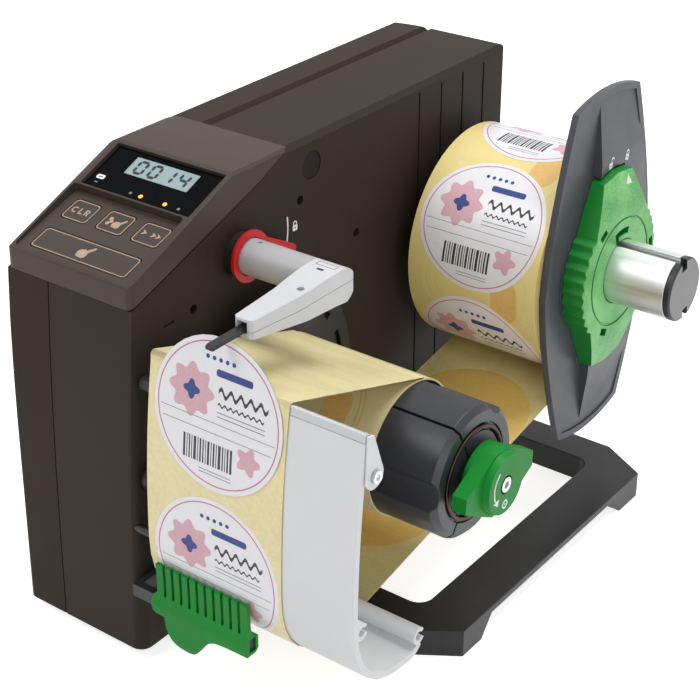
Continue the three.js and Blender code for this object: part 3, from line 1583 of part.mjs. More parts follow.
function framePlan() {
  const radius = frameInnerRadius;
  const inner = frameReach - frameBarWidth - radius;
  const innerFront = frameFront + frameFrontArm;
  const innerRear = frameRear - frameRearArm;
  const shape = new THREE.Shape();
  shape.moveTo(-tongueLength, frameFront);
  shape.lineTo(frameReach - frameFrontCutX, frameFront);
  shape.lineTo(frameReach, frameFront + frameFrontCutY);
  shape.lineTo(frameReach, frameRear - frameRearCutY);
  shape.lineTo(frameReach - frameRearCutX, frameRear);
  shape.lineTo(-tongueLength, frameRear);
  shape.lineTo(-tongueLength, innerRear);
  shape.absarc(inner, innerRear - radius, radius, Math.PI / 2, 0, true);
  shape.absarc(inner, innerFront + radius, radius, 0, -Math.PI / 2, true);
  shape.lineTo(-tongueLength, innerFront);
  return shape;
}

function makeFootFrame() {
  const outline = alongZ(framePlan(), 0, frameHeight, 5);
  const archStart = frameFront + frameFrontFoot;
  const archEnd = frameRear - frameRearFoot;
  const arch = alongX(polygon([
    [archStart, -overrun], [archStart, 0], [archStart + frameArchSlope, frameArch],
    [archEnd - frameArchSlope, frameArch], [archEnd, 0], [archEnd, -overrun],
  ]), -overrun, frameReach + overrun);
  const under = box(-tongueLength - overrun, seatGap, 0, housingDepth,
    standHeight - seatGap, frameHeight + overrun);
  const lift = box(-tongueLength - overrun, 0, 0, housingDepth, -overrun, tongueFloor);
  return cut(outline, arch, under, lift);
}

// Foot places as shares of the shells' width and depth
const footShares = { front: [-0.84, 0.06], rear: [-0.84, 0.94] };

function makeFoot([acrossShare, depthShare]) {
  const height = standHeight - seatGap;
  return solid(new THREE.CylinderGeometry(footRadius, footRadius, height, 20).rotateX(Math.PI / 2)
    .translate(-leftSide * acrossShare, depthShare * housingDepth, height / 2));
}

// Drive, brake and electrics

function flangedBush(bore, outer, depth, height) {
  return turnedX([
    [bore, -bearingTail], [outer, -bearingTail], [outer, seatGap], [outer + bearingWall, seatGap],
    [outer + bearingWall, bearingFlange - seatGap], [outer, bearingFlange], [bore, bearingFlange],
  ], depth, height, 20);
}

function pulley(radius, bore, depth, height) {
  const [start, end] = [-pulleyFace - pulleyWidth, -pulleyFace];
  const rim = radius + pulleyRimHeight;
  return turnedX([
    [bore, start], [rim, start], [rim, start + pulleyRimWidth], [radius, start + pulleyRimWidth],
    [radius, end - pulleyRimWidth], [rim, end - pulleyRimWidth], [rim, end], [bore, end],
  ], depth, height, 20);
}

// The belt's outline is the hull round both pulleys
function beltOutline(extra) {
  const small = new THREE.Vector2(motorDepth, motorHeight);
  const large = new THREE.Vector2(rewindDepth, rewindHeight);
  const between = new THREE.Vector2().subVectors(small, large);
  const lean = Math.acos((rewindPulleyRadius - motorPulleyRadius) / between.length());
  const toward = between.angle();
  const shape = new THREE.Shape();
  shape.absarc(small.x, small.y, motorPulleyRadius + extra, toward - lean, toward + lean);
  shape.absarc(large.x, large.y, rewindPulleyRadius + extra, toward + lean, toward - lean + 2 * Math.PI);
  return shape;
}

function makeBelt() {
  const from = -pulleyFace - pulleyWidth + pulleyRimWidth + seatGap;
  const to = -pulleyFace - pulleyRimWidth - seatGap;
  return cut(alongX(beltOutline(seatGap + beltThickness), from, to, 8),
    alongX(beltOutline(seatGap), from - overrun, to + overrun, 8));
}

function makeMotor() {
  const face = -shellWall - seatGap;
  const can = rodX(motorRadius, -pulleyFace + 2 * seatGap + pulleyRimHeight, face,
    motorDepth, motorHeight, 32);
  const shaft = rodX(motorShaftRadius, -pulleyFace - pulleyWidth, face, motorDepth, motorHeight, 16);
  return joined(can, shaft);
}

function makeBoard() {
  const from = leftSide + shellWall + boardPostLength + seatGap;
  return box(from, from + boardThickness, boardDepthStart, boardDepthStart + boardDepthSpan,
    boardHeightStart, boardHeightStart + boardHeightSpan);
}

function makePowerSupply() {
  const rear = housingDepth - shellWall - powerRear - inletDepth;
  const low = shellBottom + shellWall + seatGap;
  const front = motorDepth + motorRadius + powerBehindMotor;
  return box(-shellWall - seatGap - powerWidth, -shellWall - seatGap, front, rear, low, low + powerHeight);
}

function makeInlet() {
  const across = seam + inletSide;
  const outside = housingDepth + seatGap;
  const body = box(across - inletWidth / 2, across + inletWidth / 2, housingDepth - inletDepth,
    outside + inletFlangeThickness, inletHeight - inletTall / 2, inletHeight + inletTall / 2);
  const flange = box(across - inletWidth / 2 - inletFlange, across + inletWidth / 2 + inletFlange, outside,
    outside + inletFlangeThickness,
    inletHeight - inletTall / 2 - inletFlange, inletHeight + inletTall / 2 + inletFlange);
  const well = box(across - inletWidth / 2 + inletWall, across + inletWidth / 2 - inletWall,
    housingDepth - inletDepth + inletFlange, outside + inletFlangeThickness + overrun,
    inletHeight - inletTall / 2 + inletWall, inletHeight + inletTall / 2 - inletWall);
  const pins = [-1, 0, 1].map((step) =>
    solid(new THREE.CylinderGeometry(pinRadius, pinRadius, inletDepth - inletFlange, 8)
      .translate(across + step * pinPitch, housingDepth - inletDepth / 2,
        inletHeight + (step === 0 ? pinRadius : -pinRadius))));
  return joined(cut(joined(body, flange), well), ...pins);
}

// The rocker is a shallow vee that rests with its lower half pressed in
function makeRocker() {
  const across = seam + inletSide;
  const face = housingDepth;
  const side = polygon([
    [face - rockerDepth, rockerHeight - rockerTall / 2], [face - rockerPin, rockerHeight - rockerTall / 2],
    [face - rockerPin / 2, rockerHeight], [face + rockerPin, rockerHeight + rockerTall / 2],
    [face - rockerDepth, rockerHeight + rockerTall / 2 - rockerPin],
  ]);
  return alongX(side, across - rockerWidth / 2, across + rockerWidth / 2);
}

function makeInside() {
  place('rewind_bearing',
    flangedBush(rewindShaftRadius + seatGap, rewindBearingRadius, rewindDepth, rewindHeight), blackPlastic);
  place('supply_bearing',
    flangedBush(axleRadius + seatGap, supplyBearingRadius, supplyDepth, supplyHeight), blackPlastic);
  place('rewind_pulley',
    pulley(rewindPulleyRadius, rewindShaftRadius + seatGap, rewindDepth, rewindHeight), blackPlastic);
  place('motor_pulley',
    pulley(motorPulleyRadius, motorShaftRadius + seatGap, motorDepth, motorHeight), blackPlastic);
  place('drive_belt', makeBelt(), rubber);
  place('drive_motor', makeMotor(), darkSteel);
  place('control_board', makeBoard(), circuitBoard);
  place('power_supply', makePowerSupply(), darkSteel);
  place('mains_inlet', makeInlet(), blackPlastic);
  place('mains_rocker', makeRocker(), blackPlastic);
}

place('main_housing', makeMainHousing(), wallPlastic);
place('left_cover', makeLeftCover(), brownPlastic);
makeControls();
place('sensor_bush', makeSensorBush(), wallPlastic);
place('wall_buffer', makeBuffer(), blackPlastic);
makeRewinder();
makeSupply();
place('blade_flange', makeBlade(), bladePlastic);
place('hub_lock', makeHub(), greenPlastic);
makeSensor();
makeDispenser();
place('guide_bar', makeGuideBar(), darkSteel);
place('comb_guide', makeComb(), greenPlastic);
place('foot_frame', makeFootFrame(), framePlastic);
place('rubber_foot_front', makeFoot(footShares.front), rubber);
place('rubber_foot_rear', makeFoot(footShares.rear), rubber);
makeInside();

// The part's origin is the middle of its footprint, on the desk
machine.updateMatrixWorld(true);
const extent = new THREE.Box3().setFromObject(machine);
machine.position.set(-(extent.min.x + extent.max.x) / 2, -(extent.min.y + extent.max.y) / 2, 0);

export default machine;
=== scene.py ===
import json
import math

import bmesh
import bpy
from mathutils import Matrix, Vector
from mathutils.bvhtree import BVHTree
from mathutils.geometry import tessellate_polygon


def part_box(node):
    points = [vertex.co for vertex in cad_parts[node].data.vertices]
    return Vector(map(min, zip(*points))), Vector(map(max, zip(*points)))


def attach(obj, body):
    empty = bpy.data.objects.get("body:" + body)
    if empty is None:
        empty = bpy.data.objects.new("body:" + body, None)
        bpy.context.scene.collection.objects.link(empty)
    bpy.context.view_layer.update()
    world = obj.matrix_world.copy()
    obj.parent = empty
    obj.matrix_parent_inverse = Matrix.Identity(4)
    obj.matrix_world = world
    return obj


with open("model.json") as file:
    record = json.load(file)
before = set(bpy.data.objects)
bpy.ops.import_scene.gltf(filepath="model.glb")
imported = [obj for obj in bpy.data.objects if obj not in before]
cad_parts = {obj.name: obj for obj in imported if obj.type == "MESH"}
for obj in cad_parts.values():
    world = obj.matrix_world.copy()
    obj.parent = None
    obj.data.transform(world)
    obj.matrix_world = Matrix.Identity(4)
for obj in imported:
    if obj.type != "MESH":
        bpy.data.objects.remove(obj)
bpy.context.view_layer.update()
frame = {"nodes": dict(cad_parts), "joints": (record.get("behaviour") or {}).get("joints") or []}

MM = 0.001

# The machine's own axes, in millimetres: X out from the side wall, Y back from the front, Z up
BEZEL_OVERHANG = 0.8
bezel_low, bezel_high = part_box("control_bezel")
WALL_X = bezel_high.x
FRONT_Y = bezel_low.y + BEZEL_OVERHANG * MM


def at(x, y, z):
    return Vector((WALL_X + x * MM, FRONT_Y + y * MM, z * MM))


def axis_of(joint_name):
    """The axis of a hinge as depth and height in the machine's millimetres."""
    joint = next(j for j in frame["joints"] if j["name"] == joint_name)
    return (joint["pos_m"][1] - FRONT_Y) / MM, joint["pos_m"][2] / MM


SUPPLY_Y, SUPPLY_Z = axis_of("supply_turn")
REWIND_Y, REWIND_Z = axis_of("rewinder_turn")
SENSOR_Y, SENSOR_Z = axis_of("arm_swing")


# Colours

def linear(value):
    """The level of light of an sRGB value from 0 to 255."""
    value /= 255
    return value / 12.92 if value <= 0.04045 else ((value + 0.055) / 1.055) ** 2.4


def rgb(red, green, blue):
    return (linear(red), linear(green), linear(blue), 1.0)


def toned(color, factor):
    return tuple(min(c * factor, 1.0) for c in color[:3]) + (1.0,)


# Material building blocks: noise scales are in turns a metre, and depths of relief in millimetres

class Look:
    """A Principled material with its node tree at hand."""

    def __init__(self, name):
        self.material = bpy.data.materials.new(name)
        self.material.use_nodes = True
        self.tree = self.material.node_tree
        self.shader = self.tree.nodes["Principled BSDF"]
        self.coords = self.tree.nodes.new("ShaderNodeTexCoord").outputs["Object"]

    def set(self, **sockets):
        for name, value in sockets.items():
            self.shader.inputs[name.replace("_", " ")].default_value = value

    def link(self, output, socket_name):
        self.tree.links.new(output, self.shader.inputs[socket_name])

    def stretched(self, scale, centre=(0, 0, 0)):
        mapping = self.tree.nodes.new("ShaderNodeMapping")
        mapping.inputs["Scale"].default_value = scale
        mapping.inputs["Location"].default_value = [-c * s for c, s in zip(centre, scale)]
        self.tree.links.new(self.coords, mapping.inputs["Vector"])
        return mapping.outputs["Vector"]

    def noise(self, scale, detail, vector=None):
        node = self.tree.nodes.new("ShaderNodeTexNoise")
        node.inputs["Scale"].default_value = scale
        node.inputs["Detail"].default_value = detail
        self.tree.links.new(vector or self.coords, node.inputs["Vector"])
        return node.outputs["Fac"]

    def ranged(self, value, low=0, high=1, start=0.3, end=0.7):
        node = self.tree.nodes.new("ShaderNodeMapRange")
        node.inputs["From Min"].default_value = start
        node.inputs["From Max"].default_value = end
        node.inputs["To Min"].default_value = low
        node.inputs["To Max"].default_value = high
        self.tree.links.new(value, node.inputs["Value"])
        return node.outputs["Result"]

    def math(self, operation, first, second=None):
        node = self.tree.nodes.new("ShaderNodeMath")
        node.operation = operation
        for socket, value in zip(node.inputs, (first, second)):
            if isinstance(value, (int, float)):
                socket.default_value = value
            elif value is not None:
                self.tree.links.new(value, socket)
        return node.outputs["Value"]

    def mixed(self, factor, first, second):
        node = self.tree.nodes.new("ShaderNodeMix")
        node.data_type = "RGBA"
        self.tree.links.new(factor, node.inputs["Factor"])
        for socket, value in ((node.inputs["A"], first), (node.inputs["B"], second)):
            if isinstance(value, tuple):
                socket.default_value = value
            else:
                self.tree.links.new(value, socket)
        return node.outputs["Result"]

    def shaded(self, factor, color, low, high):
        """One colour between two of its tones."""
        return self.mixed(factor, toned(color, low), toned(color, high))

    def roughened(self, smear, roughness, spread):
        """Roughness that a smear of noise takes up and down."""
        self.link(self.ranged(smear, roughness - spread, roughness + spread), "Roughness")

    def bumped(self, height, strength, depth):
        node = self.tree.nodes.new("ShaderNodeBump")
        node.inputs["Strength"].default_value = strength
        node.inputs["Distance"].default_value = depth * MM
        self.tree.links.new(height, node.inputs["Height"])
        self.link(node.outputs["Normal"], "Normal")

    def part_of(self, vector, axis):
        split = self.tree.nodes.new("ShaderNodeSeparateXYZ")
        self.tree.links.new(vector, split.inputs["Vector"])
        return split.outputs[axis]

    def height(self):
        return self.part_of(self.coords, "Z")

    def outward(self, axis="X"):
        """How far the surface faces along an axis."""
        return self.part_of(self.tree.nodes.new("ShaderNodeNewGeometry").outputs["Normal"], axis)

    def radius_about(self, depth, height):
        """Distance from an axis along X, in millimetres."""
        flat = self.stretched((0, 1 / MM, 1 / MM), at(0, depth, height))
        node = self.tree.nodes.new("ShaderNodeVectorMath")
        node.operation = "LENGTH"
        self.tree.links.new(flat, node.inputs[0])
        return node.outputs["Value"]


def plastic(name, color, roughness, grain=1700, depth=0.03, tone=0.07, wear=0.05, shine=0.5):
    """Moulded plastic: an even grain, a slow change of tone and a little rubbed gloss."""
    look = Look(name)
    look.set(Specular_IOR_Level=shine)
    slow = look.ranged(look.noise(scale=14, detail=3))
    look.link(look.shaded(slow, color, 1 - tone, 1 + tone), "Base Color")
    look.roughened(look.noise(scale=55, detail=4), roughness, wear)
    look.bumped(look.noise(scale=grain, detail=2), strength=0.5, depth=depth)
    return look.material


def painted_sheen_plastic(name, color, face, pale, roughness):
    """Moulded plastic with a painted sheen: its outer face is painted pale and cloudy with a fine fleck,
    its sides deep.
    """
    look = Look(name)
    fleck = look.ranged(look.noise(scale=1500, detail=2), low=-0.3, high=0.3, start=0.4, end=0.6)
    cloud = look.ranged(look.noise(scale=38, detail=3), low=0.1, high=0.9, start=0.35, end=0.65)
    # Painted sheen: the face that looks out from the wall is painted paler than the sides, as grazing light
    # makes it
    front = look.mixed(look.math("ADD", fleck, cloud), face, pale)
    outward = look.ranged(look.outward(), start=0.75, end=0.95)
    look.link(look.mixed(outward, color, front), "Base Color")
    look.roughened(look.noise(scale=60, detail=3), roughness, spread=0.06)
    look.bumped(look.noise(scale=1300, detail=3), strength=0.6, depth=0.06)
    return look.material


def faced(name, color, face, roughness):
    """Moulded plastic whose outer face, looking out from the wall, is lighter than its sides."""
    look = Look(name)
    cloud = look.ranged(look.noise(scale=60, detail=3))
    front = look.shaded(cloud, face, 0.94, 1.05)
    outward = look.ranged(look.outward(), start=0.9, end=0.99)
    look.link(look.mixed(outward, color, front), "Base Color")
    look.link(look.ranged(cloud, roughness - 0.05, roughness + 0.05, start=0, end=1), "Roughness")
    look.bumped(look.noise(scale=1500, detail=2), strength=0.5, depth=0.03)
    return look.material


def metal(name, color, roughness, stretch=(12, 1500, 1500)):
    """Metal with fine drawn lines along its length."""
    look = Look(name)
    look.set(Metallic=1.0)
    lines = look.noise(1, 3, look.stretched(stretch))
    look.link(look.shaded(look.ranged(lines), color, 0.94, 1.06), "Base Color")
    drawn = look.ranged(lines, low=-0.05, high=0.05)
    smear = look.ranged(look.noise(scale=30, detail=3), roughness - 0.03, roughness + 0.03)
    look.link(look.math("ADD", drawn, smear), "Roughness")
    look.bumped(lines, strength=0.15, depth=0.02)
    return look.material


# The web turns its inner side up below the first of these heights, and its outer side above the second
INNER_TOP, OUTER_FOOT = 95, 120


def paper(name, color, inner=None, roughness=0.42, tone=0.05, clear=0.12, wave=0.0):
    """Glazed paper: faint fibres, a cloudy tone under a thin coat, slack waves, and its own inner side."""
    look = Look(name)
    look.set(Coat_Weight=clear, Coat_Roughness=0.25)
    cloud = look.ranged(look.noise(scale=22, detail=4))
    fibre = look.ranged(look.noise(1, 4, look.stretched((400, 900, 400))), low=-0.5, high=0.5)
    blend = look.math("ADD", cloud, fibre)
    face = look.shaded(blend, color, 1 - tone, 1 + tone)
    if inner:
        upward = look.ranged(look.outward("Z"), start=0.9, end=0.97)
        low = look.ranged(look.height(), low=1, high=0, start=INNER_TOP * MM, end=OUTER_FOOT * MM)
        side = look.shaded(blend, inner, 1 - tone, 1 + tone)
        face = look.mixed(look.math("MULTIPLY", upward, low), face, side)
    look.link(face, "Base Color")
    look.roughened(look.noise(scale=80, detail=3), roughness, spread=0.05)
    slack = look.math("MULTIPLY", look.noise(1, 2, look.stretched((9, 34, 34))), wave)
    fine = look.math("MULTIPLY", look.noise(scale=700, detail=3), 0.02)
    look.bumped(look.math("ADD", slack, fine), strength=1.0, depth=1.5)
    return look.material


def layered_paper(name, color, edge, depth, height, pitch):
    """Paper wound in layers: its face is glazed paper and its ends show fine rings."""
    look = Look(name)
    look.set(Coat_Weight=0.12, Coat_Roughness=0.25)
    turn = look.math("SINE", look.math("MULTIPLY", look.radius_about(depth, height), 2 * math.pi / pitch))
    patch = 1 / (40 * MM)
    uneven = look.noise(6, 2, look.stretched((patch, patch, patch)))
    rings = look.ranged(look.math("ADD", turn, uneven), start=-1.0, end=2.0)
    cloud = look.ranged(look.noise(scale=20, detail=4))
    face = look.shaded(cloud, color, 0.95, 1.04)
    sides = look.shaded(rings, edge, 0.9, 1.06)
    end = look.ranged(look.math("ABSOLUTE", look.outward()), start=0.6, end=0.8)
    look.link(look.mixed(end, face, sides), "Base Color")
    look.roughened(look.noise(scale=70, detail=3), 0.43, spread=0.05)
    look.bumped(look.math("MULTIPLY", rings, end), strength=0.25, depth=0.1)
    return look.material


def ink(name, color):
    """Print, with the slight mottle that ink has."""
    look = Look(name)
    mottle = look.ranged(look.noise(scale=900, detail=2))
    look.link(look.shaded(mottle, color, 0.94, 1.05), "Base Color")
    look.roughened(look.noise(scale=300, detail=2), 0.5, spread=0.04)
    return look.material


def gloss(name, color, roughness, shine):
    """Smooth glossy plastic with a faint smear."""
    look = Look(name)
    look.set(Specular_IOR_Level=shine)
    smear = look.ranged(look.noise(scale=45, detail=3))
    look.link(look.shaded(smear, color, 0.92, 1.08), "Base Color")
    look.link(look.ranged(look.noise(scale=90, detail=3), roughness, roughness + 0.07), "Roughness")
    return look.material


def lamp(name, color, strength):
    """A lit lens."""
    look = Look(name)
    look.set(Roughness=0.25, Coat_Weight=0.5, Emission_Color=color, Emission_Strength=strength)
    sparkle = look.ranged(look.noise(scale=2000, detail=2))
    look.link(look.shaded(sparkle, color, 0.9, 1.1), "Base Color")
    return look.material


# The fine grain of painted and drawn faces, and the even face of the covers
SMOOTH = {"grain": 2200, "depth": 0.01}
EVEN = {"tone": 0.02, "wear": 0.01}

# Millimetres between the rings at the ends of the wound paper
ROLL_PITCH, WOUND_PITCH = 0.9, 0.5

MATERIALS = {
    "brown": plastic("brown_moulding", rgb(46, 37, 31), 0.58, shine=0.12, **EVEN),
    "wall": plastic("wall_moulding", rgb(47, 40, 34), 0.58, shine=0.14, **EVEN),
    "bezel": plastic("bezel_moulding", rgb(65, 56, 50), 0.5, tone=0.03, wear=0.02, shine=0.25),
    "plug": plastic("plug_moulding", rgb(36, 30, 26), 0.6, tone=0.03, shine=0.12),
    "foil": plastic("keypad_foil", rgb(64, 56, 50), 0.52, grain=2600, depth=0.01, shine=0.3),
    "window": gloss("window_gloss", rgb(14, 15, 17), 0.12, shine=0.02),
    "lcd": gloss("lcd_field", rgb(150, 170, 172), 0.3, shine=0.3),
    "amber": lamp("amber_lens", rgb(236, 186, 60), 0.5),
    "red": plastic("red_collar", rgb(196, 32, 38), 0.34, grain=900, tone=0.05, shine=0.25),
    "green": plastic("green_moulding", rgb(8, 126, 40), 0.42, grain=1500, tone=0.1, shine=0.18),
    # The hub's outer face is painted paler as a painted sheen of grazing light, and its sides keep the deep
    # green
    "hub_green": painted_sheen_plastic("green_with_painted_sheen", rgb(8, 128, 40), rgb(54, 152, 60), rgb(126, 202, 120), 0.45),
    "drum": plastic("drum_moulding", rgb(50, 51, 55), 0.36, grain=1300, tone=0.06, shine=0.4),
    "blade": plastic("blade_moulding", rgb(76, 77, 83), 0.42, grain=1400, tone=0.05, shine=0.35),
    "black": plastic("black_moulding", rgb(38, 38, 40), 0.42, shine=0.35),
    "frame": plastic("frame_paint", rgb(38, 38, 39), 0.36, grain=1000, depth=0.04, tone=0.1, shine=0.3),
    "aluminium": metal("satin_aluminium", rgb(222, 223, 223), 0.42),
    "satin": plastic("satin_tube", rgb(176, 176, 178), 0.4, tone=0.02, **SMOOTH),
    "cap": faced("axle_cap", rgb(30, 30, 31), rgb(118, 118, 120), 0.42),
    "plate": plastic("anodised_plate", rgb(222, 223, 225), 0.45, tone=0.02, shine=0.3, **SMOOTH),
    "silver": plastic("silver_paint", rgb(205, 206, 209), 0.34, tone=0.03, **SMOOTH),
    "steel": metal("bright_steel", rgb(200, 202, 205), 0.2, stretch=(700, 700, 700)),
    "dark_steel": metal("dark_steel", rgb(80, 80, 84), 0.35),
    # Painted shade: near-black, so that the plate studs, support rod, guide bar and arm screw pass for the
    # shade they stand in
    "shade_black": plastic("shade_black_steel", rgb(34, 34, 35), 0.5, grain=1800, depth=0.01),
    "spring": metal("spring_wire", rgb(74, 58, 50), 0.45, stretch=(900, 900, 900)),
    "liner": paper("liner_paper", rgb(232, 219, 168), inner=rgb(228, 212, 150), wave=2.6),
    "roll": layered_paper("roll_paper", rgb(232, 212, 142), rgb(205, 182, 112),
                          SUPPLY_Y, SUPPLY_Z, ROLL_PITCH),
    "ghost": paper("ghost_paper", rgb(228, 194, 106)),
    "orange_ghost": paper("orange_ghost", rgb(224, 182, 108)),
    "pale_ghost": paper("pale_ghost", rgb(228, 214, 150)),
    "wound": layered_paper("wound_paper", rgb(220, 206, 160), rgb(214, 200, 150),
                           REWIND_Y, REWIND_Z, WOUND_PITCH),
    "label": paper("label_face", rgb(232, 231, 235), roughness=0.32, tone=0.01, clear=0.3, wave=0.4),
    "card": paper("core_card", rgb(176, 148, 110), roughness=0.8, tone=0.1, clear=0.0),
    "rubber": plastic("black_rubber", rgb(28, 28, 28), 0.75),
    "board": plastic("circuit_lacquer", rgb(45, 90, 58), 0.4),
    "tan_ink": ink("tan_ink", rgb(176, 150, 128)),
    "white_ink": ink("white_ink", rgb(236, 236, 238)),
    "dark_ink": ink("dark_ink", rgb(40, 40, 42)),
    "rose_ink": ink("rose_ink", rgb(196, 110, 135)),
    "pink_ink": ink("pink_ink", rgb(214, 170, 180)),
    "navy_ink": ink("navy_ink", rgb(40, 60, 130)),
    "grey_ink": ink("grey_ink", rgb(120, 122, 130)),
    "digit_ink": ink("digit_ink", rgb(26, 31, 30)),
}


# Every CAD node keeps its shape, with its edges broken and its round faces smooth

# In millimetres, in degrees, and in the modifier's own per cent
WELD_GAP = 0.002
FLAT_ANGLE, SHARP_ANGLE = 0.6, 32
NORMAL_WEIGHT = 60

# Look, width of the broken edges in millimetres, segments across them, and the nodes that have them
DRESSING = (
    ("brown", 0.8, 3, ["left_cover"]),
    ("wall", 0.35, 2, ["main_housing"]),
    ("wall", 0.3, 2, ["sensor_bush"]),
    ("bezel", 0.6, 3, ["control_bezel"]),
    ("foil", 0.15, 2, ["key_membrane"]),
    ("foil", 0.2, 2, ["key_clear", "key_mode", "key_advance", "key_start"]),
    ("window", 0.15, 2, ["display_window"]),
    ("lcd", 0.1, 2, ["lcd_screen"]),
    ("amber", 0.15, 2, ["status_lamps"]),
    ("black", 0.25, 2, ["rewind_flange"]),
    ("drum", 0.35, 2, ["drum_segment_a", "drum_segment_b", "drum_segment_c"]),
    ("black", 0.3, 2, ["wall_buffer", "rewind_core", "rewind_bearing", "supply_bearing"]),
    ("black", 0.2, 2, ["rewind_pulley", "motor_pulley"]),
    ("green", 0.9, 3, ["rewind_knob"]),
    ("green", 0.25, 2, ["comb_guide"]),
    ("hub_green", 0.5, 2, ["hub_lock"]),
    ("blade", 0.6, 3, ["blade_flange"]),
    ("steel", 0.2, 2, ["rewind_shaft", "knob_screw", "bracket_screw"]),
    ("spring", 0, 0, ["wire_ring"]),
    ("aluminium", 0.25, 2, ["supply_axle"]),
    ("cap", 0.25, 2, ["axle_cap"]),
    ("card", 0.1, 2, ["roll_core"]),
    ("roll", 0.2, 2, ["label_roll"]),
    ("wound", 0.1, 2, ["wound_liner"]),
    ("dark_steel", 0.2, 2, ["brake_disc", "drive_motor", "power_supply"]),
    # Coloured near-black as painted shade, to read as the shade round these parts
    ("shade_black", 0.2, 2, ["plate_stud_front", "plate_stud_rear", "support_rod", "guide_bar", "arm_screw"]),
    ("red", 0.3, 2, ["sensor_collar"]),
    ("satin", 0.15, 2, ["sensor_tube"]),
    ("plate", 0.15, 2, ["side_bracket"]),
    ("silver", 0.15, 2, ["peel_strip"]),
    ("silver", 0.6, 3, ["sensor_arm_upper", "sensor_arm_lower"]),
    ("black", 0.3, 2, ["sensor_probe"]),
    ("plate", 0.3, 2, ["dispense_plate"]),
    ("liner", 0, 0, ["liner_web"]),
    ("label", 0, 0, ["peeled_label"]),
    ("frame", 1.4, 3, ["foot_frame"]),
    ("rubber", 0.2, 2, ["rubber_foot_front", "rubber_foot_rear", "drive_belt"]),
    ("board", 0.1, 2, ["control_board"]),
    ("black", 0.3, 2, ["mains_inlet", "mains_rocker"]),
)


def dress(node, look, bevel, segments):
    node.data.materials.clear()
    node.data.materials.append(MATERIALS[look])
    for polygon in node.data.polygons:
        polygon.use_smooth = True
    weld = node.modifiers.new("weld", "WELD")
    weld.merge_threshold = WELD_GAP * MM
    planar = node.modifiers.new("planar", "DECIMATE")
    planar.decimate_type = "DISSOLVE"
    planar.angle_limit = math.radians(FLAT_ANGLE)
    if bevel:
        edges = node.modifiers.new("edges", "BEVEL")
        edges.width = bevel * MM
        edges.segments = segments
        edges.limit_method = "ANGLE"
        edges.angle_limit = math.radians(SHARP_ANGLE)
        edges.use_clamp_overlap = True
        edges.harden_normals = False
    normals = node.modifiers.new("normals", "WEIGHTED_NORMAL")
    normals.keep_sharp = True
    normals.weight = NORMAL_WEIGHT


for look, bevel, segments, names in DRESSING:
    for name in names:
        dress(frame["nodes"][name], look, bevel, segments)


# Outlines of printed and moulded details, in millimetres on their own flat plane

BAND_STEPS, CORNER_STEPS, WAVE_STEPS = 24, 5, 56


def disc(radius, centre=(0, 0), lobes=0, depth=0.0, steps=64):
    points = []
    for i in range(steps):
        angle = 2 * math.pi * i / steps
        reach = radius + depth * math.cos(lobes * angle)
        points.append((centre[0] + reach * math.cos(angle), centre[1] + reach * math.sin(angle)))
    return points


def ring(inner, outer, centre=(0, 0), steps=96):
    return [disc(outer, centre, steps=steps), disc(inner, centre, steps=steps)]


def arc_band(inner, outer, start, end, centre=(0, 0)):
    """Part of a ring between two angles in degrees."""
    angles = [math.radians(start + (end - start) * i / BAND_STEPS) for i in range(BAND_STEPS + 1)]
    near = [(centre[0] + inner * math.cos(a), centre[1] + inner * math.sin(a)) for a in angles]
    far = [(centre[0] + outer * math.cos(a), centre[1] + outer * math.sin(a)) for a in reversed(angles)]
    return [near + far]


def rounded(width, length, corner, centre=(0, 0)):
    """Rounded rectangle."""
    points = []
    for quarter, (side, end) in enumerate(((1, 1), (-1, 1), (-1, -1), (1, -1))):
        for i in range(CORNER_STEPS + 1):
            angle = math.radians(90 * (quarter + i / CORNER_STEPS))
            across = side * (width / 2 - corner) + corner * math.cos(angle)
            along = end * (length / 2 - corner) + corner * math.sin(angle)
            points.append((centre[0] + across, centre[1] + along))
    return points


def bar(start, end, width):
    """Straight stroke with square ends."""
    run = Vector((end[0] - start[0], end[1] - start[1]))
    side = Vector((-run.y, run.x)).normalized() * (width / 2)
    a, b = Vector(start), Vector(end)
    return [[tuple(a + side), tuple(a - side), tuple(b - side), tuple(b + side)]]


def wave_band(start, end, middle, height, period, width):
    """Wavy stroke from one side to the other."""
    places = [start + (end - start) * i / WAVE_STEPS for i in range(WAVE_STEPS + 1)]
    line = [middle + height * math.sin(2 * math.pi * (u - start) / period) for u in places]
    above = [(u, v + width / 2) for u, v in zip(places, line)]
    below = [(u, v - width / 2) for u, v in zip(places, line)]
    return [above + below[::-1]]


def moved(shapes, across=0, along=0, scale=1):
    """The same shapes, scaled and moved."""
    return [[[(across + scale * u, along + scale * v) for u, v in loop] for loop in shape]
            for shape in shapes]


# Carriers take a flat point to the surface under it, with the direction out of that surface

# How far a ray goes, in heights of its start
RAY_REACHES = 4


def tree_of(name):
    mesh = frame["nodes"][name].data
    corners = [vertex.co for vertex in mesh.vertices]
    return BVHTree.FromPolygons(corners, [tuple(polygon.vertices) for polygon in mesh.polygons])


def onto(name, origin, right, up, reach=6):
    """Drops flat points straight onto a node, from a height of reach millimetres."""
    tree = tree_of(name)
    right, up = Vector(right).normalized(), Vector(up).normalized()
    out = right.cross(up)

    def carry(u, v):
        start = origin + (right * u + up * v + out * reach) * MM
        place = tree.ray_cast(start, -out, RAY_REACHES * reach * MM)[0]
        if place is None:
            raise ValueError(f"nothing under {u:.1f}, {v:.1f} on {name}")
        return place, out
    return carry


def around(depth, height, radius, middle, degrees):
    """Bends flat points round an axis along X."""
    def carry(u, v):
        angle = math.radians(degrees) - v / radius
        out = Vector((0, math.cos(angle), math.sin(angle)))
        return at(middle + u, depth, height) + out * radius * MM, out
    return carry


